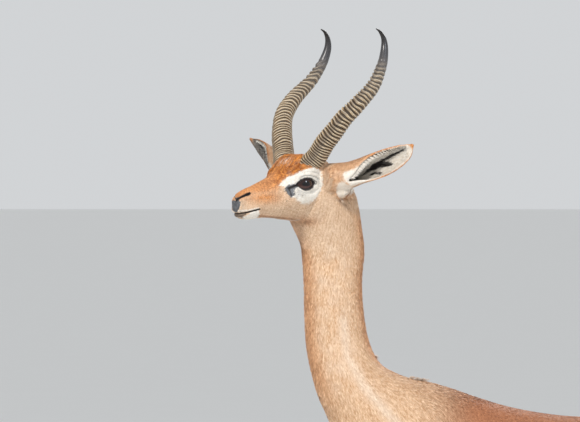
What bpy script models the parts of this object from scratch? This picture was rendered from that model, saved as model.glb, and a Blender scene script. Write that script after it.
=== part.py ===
"""A life-size male gerenuk, standing, with its neck upright and its head turned to its left.

The animal faces -X, its left side is -Y and up is +Z. Sizes are in metres.
The body is modelled as overlapping lofts, melted into one soft form, and parted by thin cuts.
At the end everything is moved so that the origin lies on the ground under the middle of the model.
"""

import math

import bmesh
import bpy
import numpy as np
from mathutils import Matrix, Vector

GAP = 0.0003
COLLECTION = "gerenuk"
LEFT, RIGHT = -1, 1
SIDES = {"left": LEFT, "right": RIGHT}

# Head: a frame of its own, with its origin at the tip of the nose, +X back, +Y to the right, +Z up
NOSE_TIP = Vector((-0.293, -0.163, 1.286))
HEAD_TURN = math.radians(45)
HEAD_DROP = math.radians(10)
HEAD_FRAME = (
    Matrix.Translation(NOSE_TIP)
    @ Matrix.Rotation(HEAD_TURN, 4, "Z")
    @ Matrix.Rotation(-HEAD_DROP, 4, "Y")
)

# Eye, in the head's frame, for the right side; the left one is mirrored
EYE_CENTRE = Vector((0.1470, 0.0290, 0.0135))
EYE_RADIUS = 0.0185
EYE_OUTWARD = Vector((-0.30, 0.94, 0.10)).normalized()
EYE_REARWARD = Vector((0.95, 0.28, -0.06))
LID_THICKNESS = 0.0020
LID_OPENING_LENGTH = 0.0345
LID_OPENING_HEIGHT = 0.0215

# Horn, in the head's frame turned level: distance back from the nose, distance to the side,
# height above the ground, thickness
HORN_STATIONS = (
    (0.150, 0.024, 1.336, 0.0400),
    (0.159, 0.031, 1.359, 0.0395),
    (0.168, 0.041, 1.374, 0.0385),
    (0.176, 0.052, 1.396, 0.0375),
    (0.186, 0.063, 1.415, 0.0360),
    (0.201, 0.075, 1.440, 0.0330),
    (0.219, 0.082, 1.458, 0.0305),
    (0.241, 0.085, 1.477, 0.0275),
    (0.259, 0.084, 1.491, 0.0250),
    (0.276, 0.080, 1.507, 0.0225),
    (0.291, 0.076, 1.527, 0.0195),
    (0.300, 0.073, 1.543, 0.0170),
    (0.306, 0.070, 1.563, 0.0135),
    (0.305, 0.069, 1.579, 0.0095),
    (0.297, 0.068, 1.591, 0.0055),
    (0.287, 0.068, 1.5965, 0.0016),
)
HORN_RINGS = 26
HORN_RINGED_SHARE = 0.75
HORN_SIDES = 11
HORN_RIDGE = 0.0016

# Limbs
HIP_HEIGHT = 0.880
CORONET_TOE_HEIGHT = 0.050
CORONET_HEEL_HEIGHT = 0.028
HOOF_TOE = -0.0320
HOOF_HEEL = 0.0335
HOOF_TOP_TOE = -0.0010
HOOF_TOP_HEEL = 0.0330
CLAW_WIDTH = 0.0175
CLAW_SPLIT = 0.0016
CLAW_OUTLINE = (
    (0, 0.10),
    (0.06, 0.34),
    (0.16, 0.62),
    (0.32, 0.88),
    (0.52, 1.0),
    (0.74, 0.96),
    (0.92, 0.72),
    (1.0, 0.42),
    (1.0, 0.0),
    (0.5, 0.0),
    (0.0, 0.0),
)
FORE_TRACK = 0.068
HIND_TRACK = 0.068
LEFT_FORE_STEP = -0.035
RIGHT_FORE_STEP = 0.020
LEFT_HIND_STEP = 0.030
RIGHT_HIND_STEP = -0.030
HIND_FOOT_X = 0.594
DEWCLAW_SIZES = (0.0065, 0.0050, 0.0085)
DEWCLAW_APART = 0.0075
FORE_DEWCLAWS = (0.072, 0.108)
HIND_DEWCLAWS = (0.671, 0.118)

# Where the soft form is parted: a point of each plane and the direction it faces
NECK_TOP_CUT = ((-0.135, 0, 1.277), (-0.46, 0.0, 0.89))
NECK_MIDDLE_CUT = ((-0.115, 0, 1.130), (0.02, 0, 1))
NECK_BASE_CUT = ((-0.078, 0, 0.974), (-0.32, 0, 0.95))
ELBOW_CUT = ((0.066, 0, 0.640), (0, 0, 1))
STIFLE_CUT = ((0.565, 0, 0.690), (-0.33, 0, 0.944))
KNEE_CUT = ((0.050, 0, 0.402), (0, 0, 1))
HOCK_CUT = ((0.666, 0, 0.440), (0, 0, 1))

# How finely the soft form is meshed
BODY_VOXEL = 0.0034
HEAD_VOXEL = 0.0021
BODY_TRIANGLES = 4600
HEAD_TRIANGLES = 2600

# The trunk and neck, from the rump to the head: each station gives the line of the back (x, z),
# the line of the belly or throat (x, z), the half width, and the height of the widest place
TRUNK_STATIONS = (
    (0.690, 0.858, 0.700, 0.800, 0.018, 0.50),
    (0.668, 0.884, 0.690, 0.772, 0.050, 0.50),
    (0.625, 0.910, 0.655, 0.750, 0.074, 0.52),
    (0.570, 0.928, 0.590, 0.738, 0.087, 0.52),
    (0.505, 0.932, 0.510, 0.722, 0.093, 0.50),
    (0.435, 0.924, 0.430, 0.700, 0.101, 0.48),
    (0.365, 0.918, 0.340, 0.676, 0.110, 0.46),
    (0.295, 0.920, 0.245, 0.660, 0.115, 0.46),
    (0.232, 0.928, 0.150, 0.656, 0.113, 0.46),
    (0.180, 0.939, 0.065, 0.672, 0.106, 0.46),
    (0.135, 0.952, -0.005, 0.712, 0.098, 0.46),
    (0.095, 0.966, -0.062, 0.778, 0.088, 0.46),
    (0.058, 0.977, -0.102, 0.852, 0.077, 0.48),
    (0.022, 0.984, -0.126, 0.912, 0.067, 0.50),
    (-0.012, 0.997, -0.145, 0.956, 0.059, 0.50),
    (-0.036, 1.014, -0.158, 1.002, 0.053, 0.50),
    (-0.053, 1.050, -0.166, 1.045, 0.048, 0.50),
    (-0.062, 1.100, -0.169, 1.096, 0.044, 0.50),
    (-0.065, 1.155, -0.170, 1.150, 0.042, 0.50),
    (-0.061, 1.205, -0.173, 1.196, 0.041, 0.50),
    (-0.066, 1.250, -0.176, 1.232, 0.041, 0.50),
    (-0.072, 1.288, -0.186, 1.264, 0.041, 0.50),
    (-0.081, 1.318, -0.192, 1.290, 0.038, 0.50),
    (-0.100, 1.342, -0.182, 1.316, 0.026, 0.50),
)

# Where the neck turns into the head: height, place (x, y), half size along and across, turn
NAPE_STATIONS = (
    (1.185, -0.117, 0.000, 0.0520, 0.0400, 0),
    (1.222, -0.121, -0.004, 0.0560, 0.0425, 12),
    (1.252, -0.130, -0.012, 0.0615, 0.0450, 24),
    (1.280, -0.142, -0.022, 0.0640, 0.0470, 35),
    (1.305, -0.150, -0.030, 0.0580, 0.0450, 42),
    (1.325, -0.153, -0.033, 0.0420, 0.0360, 45),
)

# The head, from the nose back: place along it, top, bottom, half width, height of the widest
# place, roundness of the upper half and of the lower half
HEAD_STATIONS = (
    (0.0065, 0.002, -0.009, 0.0055, -0.001, 2.0, 2.0),
    (0.0090, 0.0080, -0.0155, 0.0098, -0.001, 2.0, 2.2),
    (0.0140, 0.0148, -0.0220, 0.0140, -0.001, 2.0, 2.3),
    (0.0230, 0.0218, -0.0260, 0.0178, -0.001, 2.0, 2.3),
    (0.036, 0.0254, -0.0288, 0.0194, -0.002, 2.0, 2.2),
    (0.052, 0.0276, -0.0302, 0.0208, -0.003, 1.9, 2.0),
    (0.072, 0.0310, -0.0330, 0.0232, -0.004, 1.9, 1.9),
    (0.092, 0.0345, -0.0375, 0.0280, -0.004, 1.9, 1.8),
    (0.108, 0.0385, -0.0420, 0.0335, -0.001, 2.0, 1.8),
    (0.125, 0.0470, -0.0465, 0.0405, 0.006, 1.9, 1.8),
    (0.142, 0.0565, -0.0510, 0.0455, 0.010, 1.95, 1.9),
    (0.160, 0.0610, -0.0545, 0.0460, 0.010, 2.4, 1.9),
    (0.180, 0.0595, -0.0540, 0.0440, 0.008, 2.7, 2.0),
    (0.200, 0.0545, -0.0480, 0.0420, 0.006, 2.7, 2.0),
    (0.218, 0.0450, -0.0390, 0.0370, 0.004, 2.4, 2.0),
    (0.236, 0.0240, -0.0220, 0.0220, 0.000, 2.0, 2.0),
)

# Soft swellings and hollows of the head, in its frame, for the right side: centre, reach, height
HEAD_SWELLINGS = {
    "brow": ((0.139, 0.0420, 0.032), (0.024, 0.022, 0.009), 0.0050),
    "cheekbone": ((0.142, 0.0460, -0.010), (0.034, 0.024, 0.008), 0.0026),
    "jaw muscle": ((0.170, 0.0400, -0.030), (0.027, 0.030, 0.022), 0.0034),
    "gland": ((0.107, 0.0340, 0.010), (0.011, 0.020, 0.0055), -0.0028),
    "hollow before the eye": ((0.119, 0.0400, 0.022), (0.012, 0.020, 0.011), -0.0022),
    "wing of the nostril": ((0.018, 0.0150, 0.0150), (0.012, 0.010, 0.006), 0.0022),
    "upper lip": ((0.022, 0.0180, -0.0075), (0.022, 0.020, 0.0045), 0.0018),
    "lower lip": ((0.024, 0.0160, -0.0190), (0.018, 0.020, 0.0040), 0.0014),
    "corner of the mouth": ((0.050, 0.0200, -0.0120), (0.006, 0.010, 0.005), 0.0014),
    "temple": ((0.186, 0.0420, 0.030), (0.011, 0.020, 0.014), -0.0030),
    "root of the ear": ((0.205, 0.0420, 0.022), (0.020, 0.022, 0.024), 0.0080),
    "bulb of the ear": ((0.207, 0.0450, -0.008), (0.013, 0.020, 0.013), 0.0090),
    "root of the horn": ((0.166, 0.0400, 0.043), (0.022, 0.018, 0.017), 0.0070),
}
NOSTRIL = (
    (0.0320, 0.0155, 0.0166, 0.0012),
    (0.0225, 0.0143, 0.0144, 0.0018),
    (0.0145, 0.0112, 0.0104, 0.0026),
    (0.0100, 0.0078, 0.0068, 0.0022),
)
MOUTH_LINE = ((-0.010, -0.0145), (0.009, -0.0142), (0.025, -0.0138), (0.040, -0.0134), (0.049, -0.0138))
MOUTH_WIDTH = 0.0012
MOUTH_DEPTH = 0.0035
MOUTH_REACH = 0.035
MOUTH_CORE_WIDTH = 0.002
MOUTH_CORE_HEIGHTS = (-0.022, -0.004)

# Legs: place back, height, half size from front to back, half size across
FORELEG_STATIONS = (
    (0.098, 0.915, 0.034, 0.016),
    (0.078, 0.860, 0.062, 0.030),
    (0.050, 0.800, 0.082, 0.037),
    (0.048, 0.748, 0.078, 0.038),
    (0.062, 0.700, 0.058, 0.034),
    (0.066, 0.655, 0.041, 0.0285),
    (0.062, 0.600, 0.032, 0.0240),
    (0.057, 0.540, 0.0260, 0.0205),
    (0.053, 0.480, 0.0212, 0.0180),
    (0.050, 0.435, 0.0192, 0.0180),
    (0.048, 0.405, 0.0212, 0.0200),
    (0.050, 0.375, 0.0180, 0.0175),
    (0.053, 0.340, 0.0136, 0.0135),
    (0.055, 0.280, 0.0118, 0.0112),
    (0.056, 0.205, 0.0114, 0.0108),
    (0.057, 0.152, 0.0126, 0.0122),
    (0.056, 0.122, 0.0160, 0.0148),
    (0.048, 0.098, 0.0128, 0.0135),
    (0.036, 0.074, 0.0124, 0.0140),
    (0.024, 0.054, 0.0150, 0.0165),
    (0.014, 0.036, 0.0165, 0.0172),
    (0.004, 0.016, 0.0165, 0.0172),
)
FORELEG_Y = ((0.915, 0.046), (0.800, 0.064), (0.655, 0.074), (0.400, 0.070), (0.040, 0.068))
HINDLEG_STATIONS = (
    (0.590, 0.885, 0.060, 0.026),
    (0.586, 0.830, 0.088, 0.040),
    (0.576, 0.770, 0.098, 0.046),
    (0.570, 0.715, 0.092, 0.045),
    (0.575, 0.665, 0.073, 0.039),
    (0.590, 0.615, 0.054, 0.032),
    (0.610, 0.565, 0.041, 0.0255),
    (0.632, 0.515, 0.0315, 0.0205),
    (0.652, 0.470, 0.0270, 0.0180),
    (0.664, 0.438, 0.0262, 0.0178),
    (0.666, 0.405, 0.0222, 0.0168),
    (0.663, 0.368, 0.0168, 0.0142),
    (0.660, 0.310, 0.0138, 0.0124),
    (0.657, 0.230, 0.0128, 0.0116),
    (0.655, 0.168, 0.0136, 0.0128),
    (0.653, 0.134, 0.0174, 0.0155),
    (0.645, 0.108, 0.0136, 0.0138),
    (0.632, 0.082, 0.0128, 0.0142),
    (0.619, 0.058, 0.0154, 0.0165),
    (0.609, 0.038, 0.0168, 0.0172),
    (0.599, 0.018, 0.0168, 0.0172),
)
HINDLEG_Y = ((0.885, 0.044), (0.770, 0.058), (0.615, 0.074), (0.440, 0.070), (0.042, 0.068))
ACHILLES_STATIONS = (
    (0.632, 0.625, 0.0200, 0.0130),
    (0.646, 0.580, 0.0200, 0.0095),
    (0.660, 0.540, 0.0200, 0.0078),
    (0.672, 0.505, 0.0205, 0.0080),
    (0.681, 0.472, 0.0215, 0.0105),
    (0.679, 0.440, 0.0200, 0.0105),
    (0.671, 0.400, 0.0140, 0.0090),
)

# Ear, for the right side, in the head's frame, from its root to its tip: place of the middle of
# its back, radius of the cup, half angle of the cup in degrees. The left ear is held lower.
EAR_STATIONS = (
    (0.200, 0.034, 0.012, 0.0290, 172),
    (0.2105, 0.056, 0.0135, 0.0265, 170),
    (0.219, 0.076, 0.0170, 0.0235, 166),
    (0.2255, 0.094, 0.0220, 0.0222, 142),
    (0.232, 0.114, 0.0270, 0.0230, 110),
    (0.240, 0.141, 0.0345, 0.0235, 82),
    (0.247, 0.162, 0.042, 0.0220, 68),
    (0.252, 0.178, 0.0495, 0.0185, 60),
    (0.2555, 0.1885, 0.056, 0.0132, 52),
    (0.2575, 0.1945, 0.0605, 0.0080, 44),
    (0.2585, 0.1975, 0.063, 0.0048, 36),
)
EAR_OPENING_ROOT = Vector((-0.72, 0.10, -0.66))
EAR_OPENING_TIP = Vector((-0.95, 0.20, -0.10))
EAR_WALL = 0.0032
EAR_LIFT = {"left": 0.0, "right": 0.009}

# Tail: place back, height, half size from front to back, half size across
TAIL_STATIONS = (
    (0.664, 0.862, 0.0170, 0.0190),
    (0.694, 0.838, 0.0140, 0.0160),
    (0.712, 0.795, 0.0105, 0.0125),
    (0.720, 0.745, 0.0088, 0.0100),
    (0.724, 0.690, 0.0078, 0.0086),
    (0.725, 0.640, 0.0070, 0.0076),
    (0.724, 0.605, 0.0060, 0.0066),
)
TAIL_TUFT_ROOT = (0.7245, 0, 0.632)
TAIL_TUFT_TRIANGLES = 700
TAIL_TUFT_VOXEL = 0.0016
TAIL_LOCKS = 14
TAIL_LOCK_LENGTH = 0.105
TAIL_LOCK_SPREAD = 0.010
TAIL_LOCK_SWING = -0.012
TAIL_LOCK_TURN = math.tau * 0.382


def through(stations, steps):
    """The stations' values read from a smooth curve, with this many steps from each to the next."""
    rows = np.array(stations, float)
    padded = np.vstack([2 * rows[0] - rows[1], rows, 2 * rows[-1] - rows[-2]])
    read = []
    for before, start, end, after in zip(padded, padded[1:], padded[2:], padded[3:]):
        for t in np.arange(steps) / steps:
            read.append(
                start
                + 0.5 * t * (end - before)
                + t**2 * (before - 2.5 * start + 2 * end - 0.5 * after)
                + t**3 * (1.5 * (start - end) + 0.5 * (after - before))
            )
    return np.array(read + [rows[-1]])


def rounded(angle, roundness):
    """Cosine and sine of the angle, squared off as a superellipse."""
    c, s = math.cos(angle), math.sin(angle)
    power = 2 / roundness
    return math.copysign(abs(c) ** power, c), math.copysign(abs(s) ** power, s)


def mesh_object(name, bm, smooth=True):
    bmesh.ops.recalc_face_normals(bm, faces=bm.faces)
    mesh = bpy.data.meshes.new(name)
    bm.to_mesh(mesh)
    bm.free()
    if smooth:
        mesh.shade_smooth()
        mesh.set_sharp_from_angle(angle=math.radians(50))
    made = bpy.data.objects.new(name, mesh)
    parts.objects.link(made)
    return made


def loft(name, rings):
    """A closed body through the rings, each a list of as many points."""
    bm = bmesh.new()
    loops = [[bm.verts.new(p) for p in ring] for ring in rings]
    for near, far in zip(loops, loops[1:]):
        for i in range(len(near)):
            j = (i + 1) % len(near)
            bm.faces.new((near[i], near[j], far[j], far[i]))
    bm.faces.new(reversed(loops[0]))
    bm.faces.new(loops[-1])
    bmesh.ops.triangulate(bm, faces=bm.faces)
    return mesh_object(name, bm)


def trunk():
    rings = []
    for dorsal_x, dorsal_z, ventral_x, ventral_z, width, widest in through(TRUNK_STATIONS, 5):
        back, belly = Vector((dorsal_x, 0, dorsal_z)), Vector((ventral_x, 0, ventral_z))
        middle = belly.lerp(back, widest)
        ring = []
        for i in range(48):
            across, up = rounded(math.tau * i / 48, 2.1)
            toward = back - middle if up > 0 else belly - middle
            ring.append(middle + toward * abs(up) + Vector((0, width * across, 0)))
        rings.append(ring)
    return loft("trunk", rings)


def nape():
    rings = []
    for z, x, y, half_long, half_wide, turn in through(NAPE_STATIONS, 4):
        turned = Matrix.Translation((x, y, z)) @ Matrix.Rotation(math.radians(turn), 4, "Z")
        ring = []
        for i in range(40):
            along, across = rounded(math.tau * i / 40, 2.1)
            ring.append(turned @ Vector((half_long * along, half_wide * across, 0)))
        rings.append(ring)
    return loft("nape", rings)


def skull():
    rings = []
    for x, top, bottom, width, widest, round_top, round_low in through(HEAD_STATIONS, 5):
        ring = []
        for i in range(48):
            angle = math.tau * i / 48
            upper = math.sin(angle) > 0
            across, up = rounded(angle, round_top if upper else round_low)
            reach = top - widest if upper else widest - bottom
            ring.append(Vector((x, width * across, widest + reach * up)))
        rings.append(ring)
    made = loft("skull", rings)
    swell(made, HEAD_SWELLINGS.values())
    made.data.transform(HEAD_FRAME)
    return made


def swell(made, swellings):
    """Pushes the surface out, or in, softly around each centre and its mirror image."""
    for centre, reach, height in swellings:
        places = [vert.co.copy() for vert in made.data.vertices]
        normals = [vert.normal.copy() for vert in made.data.vertices]
        for vert, place, normal in zip(made.data.vertices, places, normals):
            away = [
                (place.x - centre[0]) / reach[0],
                (abs(place.y) - centre[1]) / reach[1],
                (place.z - centre[2]) / reach[2],
            ]
            vert.co = place + normal * height * math.exp(-sum(a * a for a in away))


def ball(name, centre, radii, segments=24, rings=14):
    bm = bmesh.new()
    bmesh.ops.create_uvsphere(bm, u_segments=segments, v_segments=rings, radius=1)
    matrix = Matrix.LocRotScale(Vector(centre), None, Vector(radii))
    bmesh.ops.transform(bm, matrix=matrix, verts=bm.verts)
    return mesh_object(name, bm)


def limb(name, stations, side_places, sign, step, level_above):
    """One leg: rings level above the given height, and square to the bone below it.

    The step moves the foot forward or back, and the leg above it in proportion.
    """
    rows = through(stations, 4)
    heights = [z for z, y in reversed(side_places)]
    places = [y for z, y in reversed(side_places)]
    y = sign * np.interp(rows[:, 1], heights, places)
    swing = step * (HIP_HEIGHT - rows[:, 1]) / HIP_HEIGHT
    x = rows[:, 0] + swing
    run = np.gradient(np.stack([x, rows[:, 1]], axis=1), axis=0)
    rings = []
    for i, (_, z, half_long, half_wide) in enumerate(rows):
        bone = Vector((run[i, 0], 0, run[i, 1])).normalized()
        level = min(1, max(0, (z - level_above) / 0.05))
        forward = bone.cross(Vector((0, 1, 0))).lerp(Vector((1, 0, 0)), level).normalized()
        ring = []
        for k in range(28):
            along, across = rounded(math.tau * k / 28, 2.15)
            ring.append(
                Vector((x[i], y[i], z))
                + forward * (half_long * along)
                + Vector((0, half_wide * across, 0))
            )
        rings.append(ring)
    return loft(name, rings)


def dewclaws(name, place, y, step):
    """The two small balls behind a fetlock, moved by their share of the leg's step."""
    x, z = place
    x += step * (HIP_HEIGHT - z) / HIP_HEIGHT
    return [
        ball(f"{name}_dewclaw_{k}", (x, y + k * DEWCLAW_APART, z), DEWCLAW_SIZES, 12, 8)
        for k in (-1, 1)
    ]


def legs():
    made = []
    for side, sign in SIDES.items():
        fore_step = LEFT_FORE_STEP if sign == LEFT else RIGHT_FORE_STEP
        hind_step = LEFT_HIND_STEP if sign == LEFT else RIGHT_HIND_STEP
        made.append(
            limb(f"fore_{side}", FORELEG_STATIONS, FORELEG_Y, sign, fore_step, 0.640)
        )
        made.append(
            limb(f"hind_{side}", HINDLEG_STATIONS, HINDLEG_Y, sign, hind_step, 0.600)
        )
        made.append(
            limb(f"achilles_{side}", ACHILLES_STATIONS, HINDLEG_Y, sign, hind_step, 0.700)
        )
        made += dewclaws(f"fore_{side}", FORE_DEWCLAWS, sign * FORE_TRACK, fore_step)
        made += dewclaws(f"hind_{side}", HIND_DEWCLAWS, sign * HIND_TRACK, hind_step)
    return made


def evaluated_copy(made, name):
    """A plain mesh object with the modifiers of another one carried out."""
    bpy.context.view_layer.update()
    graph = bpy.context.evaluated_depsgraph_get()
    mesh = bpy.data.meshes.new_from_object(made.evaluated_get(graph))
    mesh.name = name
    copy = bpy.data.objects.new(name, mesh)
    copy.matrix_world = made.matrix_world
    parts.objects.link(copy)
    return copy


def remove(*objects):
    for made in objects:
        bpy.data.objects.remove(made)


def melted(pieces, voxel, name):
    """The overlapping pieces as one closed soft form."""
    bm = bmesh.new()
    for piece in pieces:
        bm.from_mesh(piece.data)
    whole = mesh_object(name + "_pieces", bm)
    remesh = whole.modifiers.new("melt", "REMESH")
    remesh.mode = "VOXEL"
    remesh.voxel_size = voxel
    relax = whole.modifiers.new("relax", "SMOOTH")
    relax.factor = 0.5
    relax.iterations = 5
    made = evaluated_copy(whole, name)
    remove(whole)
    return made


def thinned(dense, triangles, name):
    """The same form with about this many triangles."""
    thin = dense.modifiers.new("thin", "DECIMATE")
    thin.ratio = triangles / (2 * len(dense.data.polygons))
    thin.use_collapse_triangulate = True
    made = evaluated_copy(dense, name)
    remove(dense)
    return made


def boolean(target, operation, *tools):
    """The target cut by, or joined with, each tool in turn; the tools are then removed."""
    for tool in tools:
        modifier = target.modifiers.new(operation, "BOOLEAN")
        modifier.operation = operation
        modifier.object = tool
        modifier.solver = "EXACT"
        result = evaluated_copy(target, target.name + "_cut")
        target.modifiers.clear()
        target.data = result.data
        remove(result, tool)
    return target


def closed_surfaces(bm):
    """The vertices of each closed surface of the mesh."""
    left = set(bm.verts)
    surfaces = []
    while left:
        found, reach = [], [left.pop()]
        while reach:
            vert = reach.pop()
            found.append(vert)
            for edge in vert.link_edges:
                other = edge.other_vert(vert)
                if other in left:
                    left.discard(other)
                    reach.append(other)
        surfaces.append(found)
    return surfaces


def keep_only(bm, kept):
    kept = set(kept)
    bmesh.ops.delete(bm, geom=[v for v in bm.verts if v not in kept], context="VERTS")


def keep_largest(made):
    """Leaves only the largest closed surface of the mesh."""
    bm = bmesh.new()
    bm.from_mesh(made.data)
    keep_only(bm, max(closed_surfaces(bm), key=len))
    bm.to_mesh(made.data)
    bm.free()
    return made


def sliced(source, name, near, *planes):
    """The closed part of a form that lies on the far side of every plane, nearest to a point.

    Each plane is a point, the direction it faces and the side kept, 1 or -1.
    """
    bm = bmesh.new()
    bm.from_mesh(source.data)
    for (point, direction), side in planes:
        normal = Vector(direction).normalized() * side
        bmesh.ops.bisect_plane(
            bm,
            geom=bm.verts[:] + bm.edges[:] + bm.faces[:],
            dist=1e-7,
            plane_co=Vector(point) + normal * (GAP / 2),
            plane_no=normal,
            clear_inner=True,
        )
        rim = [edge for edge in bm.edges if edge.is_boundary]
        bmesh.ops.holes_fill(bm, edges=rim, sides=0)
    near = Vector(near)
    surfaces = closed_surfaces(bm)
    keep_only(bm, min(surfaces, key=lambda verts: min((v.co - near).length for v in verts)))
    bmesh.ops.triangulate(bm, faces=[f for f in bm.faces if len(f.verts) > 4])
    return mesh_object(name, bm)


def swollen(made, distance):
    """A copy with its surface moved out by the distance."""
    push = made.modifiers.new("push", "DISPLACE")
    push.strength = distance
    push.mid_level = 0
    result = evaluated_copy(made, made.name + "_swollen")
    made.modifiers.clear()
    return result


def plate(name, outline, low_y, high_y):
    """A plate with an outline of (x, z) points, between two values of y."""
    return loft(name, [[Vector((x, y, z)) for x, z in outline] for y in (low_y, high_y)])


def mirrored(point, sign):
    return Vector((point[0], sign * point[1], point[2]))


def eye(side):
    made = ball(f"eye_{side}", mirrored(EYE_CENTRE, SIDES[side]), [EYE_RADIUS] * 3, 20, 12)
    made.data.transform(HEAD_FRAME)
    return made


def lids(side):
    radius = EYE_RADIUS + LID_THICKNESS
    made = ball(f"lids_{side}", mirrored(EYE_CENTRE, SIDES[side]), [radius] * 3, 24, 14)
    made.data.transform(HEAD_FRAME)
    return made


def eye_opening(side):
    """An almond-shaped plug that opens the lids over the eyeball."""
    sign = SIDES[side]
    outward = mirrored(EYE_OUTWARD, sign)
    rearward = mirrored(EYE_REARWARD, sign)
    rearward = (rearward - outward * rearward.dot(outward)).normalized()
    upward = rearward.cross(outward)
    upward *= math.copysign(1, upward.z)
    rings = []
    for away in (0.0, 0.5, 1.6):
        middle = mirrored(EYE_CENTRE, sign) + outward * (EYE_RADIUS * away)
        ring = []
        for i in range(20):
            angle = math.tau * i / 20
            along = math.cos(angle)
            height = math.sin(angle) * (1 - 0.45 * abs(along) ** 2)
            ring.append(
                middle
                + rearward * (along * LID_OPENING_LENGTH / 2)
                + upward * (height * LID_OPENING_HEIGHT / 2)
            )
        rings.append(ring)
    made = loft(f"eye_opening_{side}", rings)
    made.data.transform(HEAD_FRAME)
    return made


def eye_socket(side):
    radius = EYE_RADIUS + GAP
    made = ball(f"socket_{side}", mirrored(EYE_CENTRE, SIDES[side]), [radius] * 3, 20, 12)
    made.data.transform(HEAD_FRAME)
    return made


def mouth_groove():
    """The line between the lips: a thin curved plate with its middle left out."""
    line = through(MOUTH_LINE, 4)
    upper = [(x, z + MOUTH_WIDTH / 2) for x, z in line]
    lower = [(x, z - MOUTH_WIDTH / 2) for x, z in reversed(line)]
    groove = plate("mouth_groove", upper + lower, -MOUTH_REACH, MOUTH_REACH)
    core = []
    for x, _, _, width, *_ in HEAD_STATIONS[2:7]:
        core.append((x + MOUTH_DEPTH * 0.4, max(MOUTH_CORE_WIDTH, width - MOUTH_DEPTH)))
    outline = [(x, y) for x, y in core] + [(x, -y) for x, y in reversed(core)]
    rings = [[Vector((x, y, z)) for x, y in outline] for z in MOUTH_CORE_HEIGHTS]
    boolean(groove, "DIFFERENCE", loft("mouth_core", rings))
    groove.data.transform(HEAD_FRAME)
    return groove


def nostril(side):
    """A comma-shaped slit, widest at the front."""
    sign = SIDES[side]
    rings = []
    for x, y, z, radius in through(NOSTRIL, 3):
        middle = Vector((x, sign * (y - 0.0005), z))
        ring = []
        for i in range(10):
            angle = math.tau * i / 10
            across = Vector((0, sign * 0.86, 0.50)) * (math.cos(angle) * radius * 2.2)
            along = Vector((0, -sign * 0.50, 0.86)) * (math.sin(angle) * radius)
            ring.append(middle + across + along)
        rings.append(ring)
    made = loft(f"nostril_{side}", rings)
    made.data.transform(HEAD_FRAME)
    return made


def ear(side):
    """A thin leaf-shaped cup that closes to a tube at its root."""
    sign = SIDES[side]
    rows = through(EAR_STATIONS, 1)
    places = [mirrored(row[:3], sign) for row in rows]
    rings = []
    for i, (_, out, _, radius, half_angle) in enumerate(rows):
        share = (out - rows[0, 1]) / (rows[-1, 1] - rows[0, 1])
        axis = (places[min(i + 1, len(rows) - 1)] - places[max(i - 1, 0)]).normalized()
        opening = mirrored(EAR_OPENING_ROOT.lerp(EAR_OPENING_TIP, min(1, share * 1.4)), sign)
        opening = (opening - axis * opening.dot(axis)).normalized()
        across = axis.cross(opening)
        middle = places[i] + Vector((0, 0, EAR_LIFT[side] * share))
        ring = []
        for wall, turn in ((0, 1), (EAR_WALL, -1)):
            reach = radius - wall * (0.6 if share > 0.97 else 1)
            for k in range(9):
                angle = math.radians(half_angle) * (k / 4 - 1) * turn
                along_chord = across * (reach * math.sin(angle))
                ring.append(middle - opening * (reach * math.cos(angle)) + along_chord)
        rings.append(ring)
    made = loft(f"ear_{side}", rings)
    made.data.transform(HEAD_FRAME)
    return made


def horn(side):
    """A ringed horn: rounded ridges that grow longer from the root up, then a smooth tip."""
    sign = SIDES[side]
    level = Matrix.Translation((NOSE_TIP.x, NOSE_TIP.y, 0)) @ Matrix.Rotation(HEAD_TURN, 4, "Z")
    rows = through(HORN_STATIONS, 16)
    points = np.array([level @ Vector((x, sign * y, z)) for x, y, z, thick in rows])
    steps = np.linalg.norm(np.diff(points, axis=0), axis=1)
    along = np.concatenate([[0], np.cumsum(steps)]) / steps.sum()
    shares = [
        (HORN_RINGED_SHARE * (i / (2 * HORN_RINGS)) ** 0.92, 1 - 2 * (i % 2))
        for i in range(2 * HORN_RINGS)
    ]
    shares += [(share, 0) for share in np.linspace(HORN_RINGED_SHARE, 1, 14)]
    back = level.to_3x3() @ Vector((1, 0, 0))
    rings = []
    for share, ridge in shares:
        middle, ahead, behind = (
            Vector([np.interp(s, along, points[:, k]) for k in range(3)])
            for s in (share, min(1, share + 0.01), max(0, share - 0.01))
        )
        run = (ahead - behind).normalized()
        across = run.cross(back).normalized()
        forward = across.cross(run)
        radius = np.interp(share, along, rows[:, 3]) / 2 + ridge * HORN_RIDGE / 2
        ring = []
        for i in range(HORN_SIDES):
            angle = math.tau * i / HORN_SIDES
            ring.append(
                middle
                + forward * (radius * math.cos(angle))
                + across * (radius * 0.90 * math.sin(angle))
            )
        rings.append(ring)
    return loft(f"horn_{side}", rings)


def coronet_height(x):
    share = (x - HOOF_TOP_TOE) / (HOOF_TOP_HEEL - HOOF_TOP_TOE)
    return CORONET_TOE_HEIGHT + (CORONET_HEEL_HEIGHT - CORONET_TOE_HEIGHT) * share


def claw(name, foot_x, foot_y, sign):
    """Half of a cloven hoof: pointed in front, flat inside and below."""
    rings = []
    for share in (0, 0.12, 0.4, 0.7, 1):
        toe = HOOF_TOE + (HOOF_TOP_TOE - HOOF_TOE) * share**0.9
        heel = HOOF_HEEL + (HOOF_TOP_HEEL - HOOF_HEEL) * share
        width = CLAW_WIDTH * (1 - 0.10 * share) * (0.96 if share == 0 else 1)
        ring = []
        for run, bulge in CLAW_OUTLINE:
            x = toe + (heel - toe) * run
            z = share * (coronet_height(x) - GAP)
            y = sign * (CLAW_SPLIT / 2 + bulge * width)
            ring.append(Vector((foot_x + x, foot_y + y, z)))
        rings.append(ring)
    return loft(name, rings)


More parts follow.
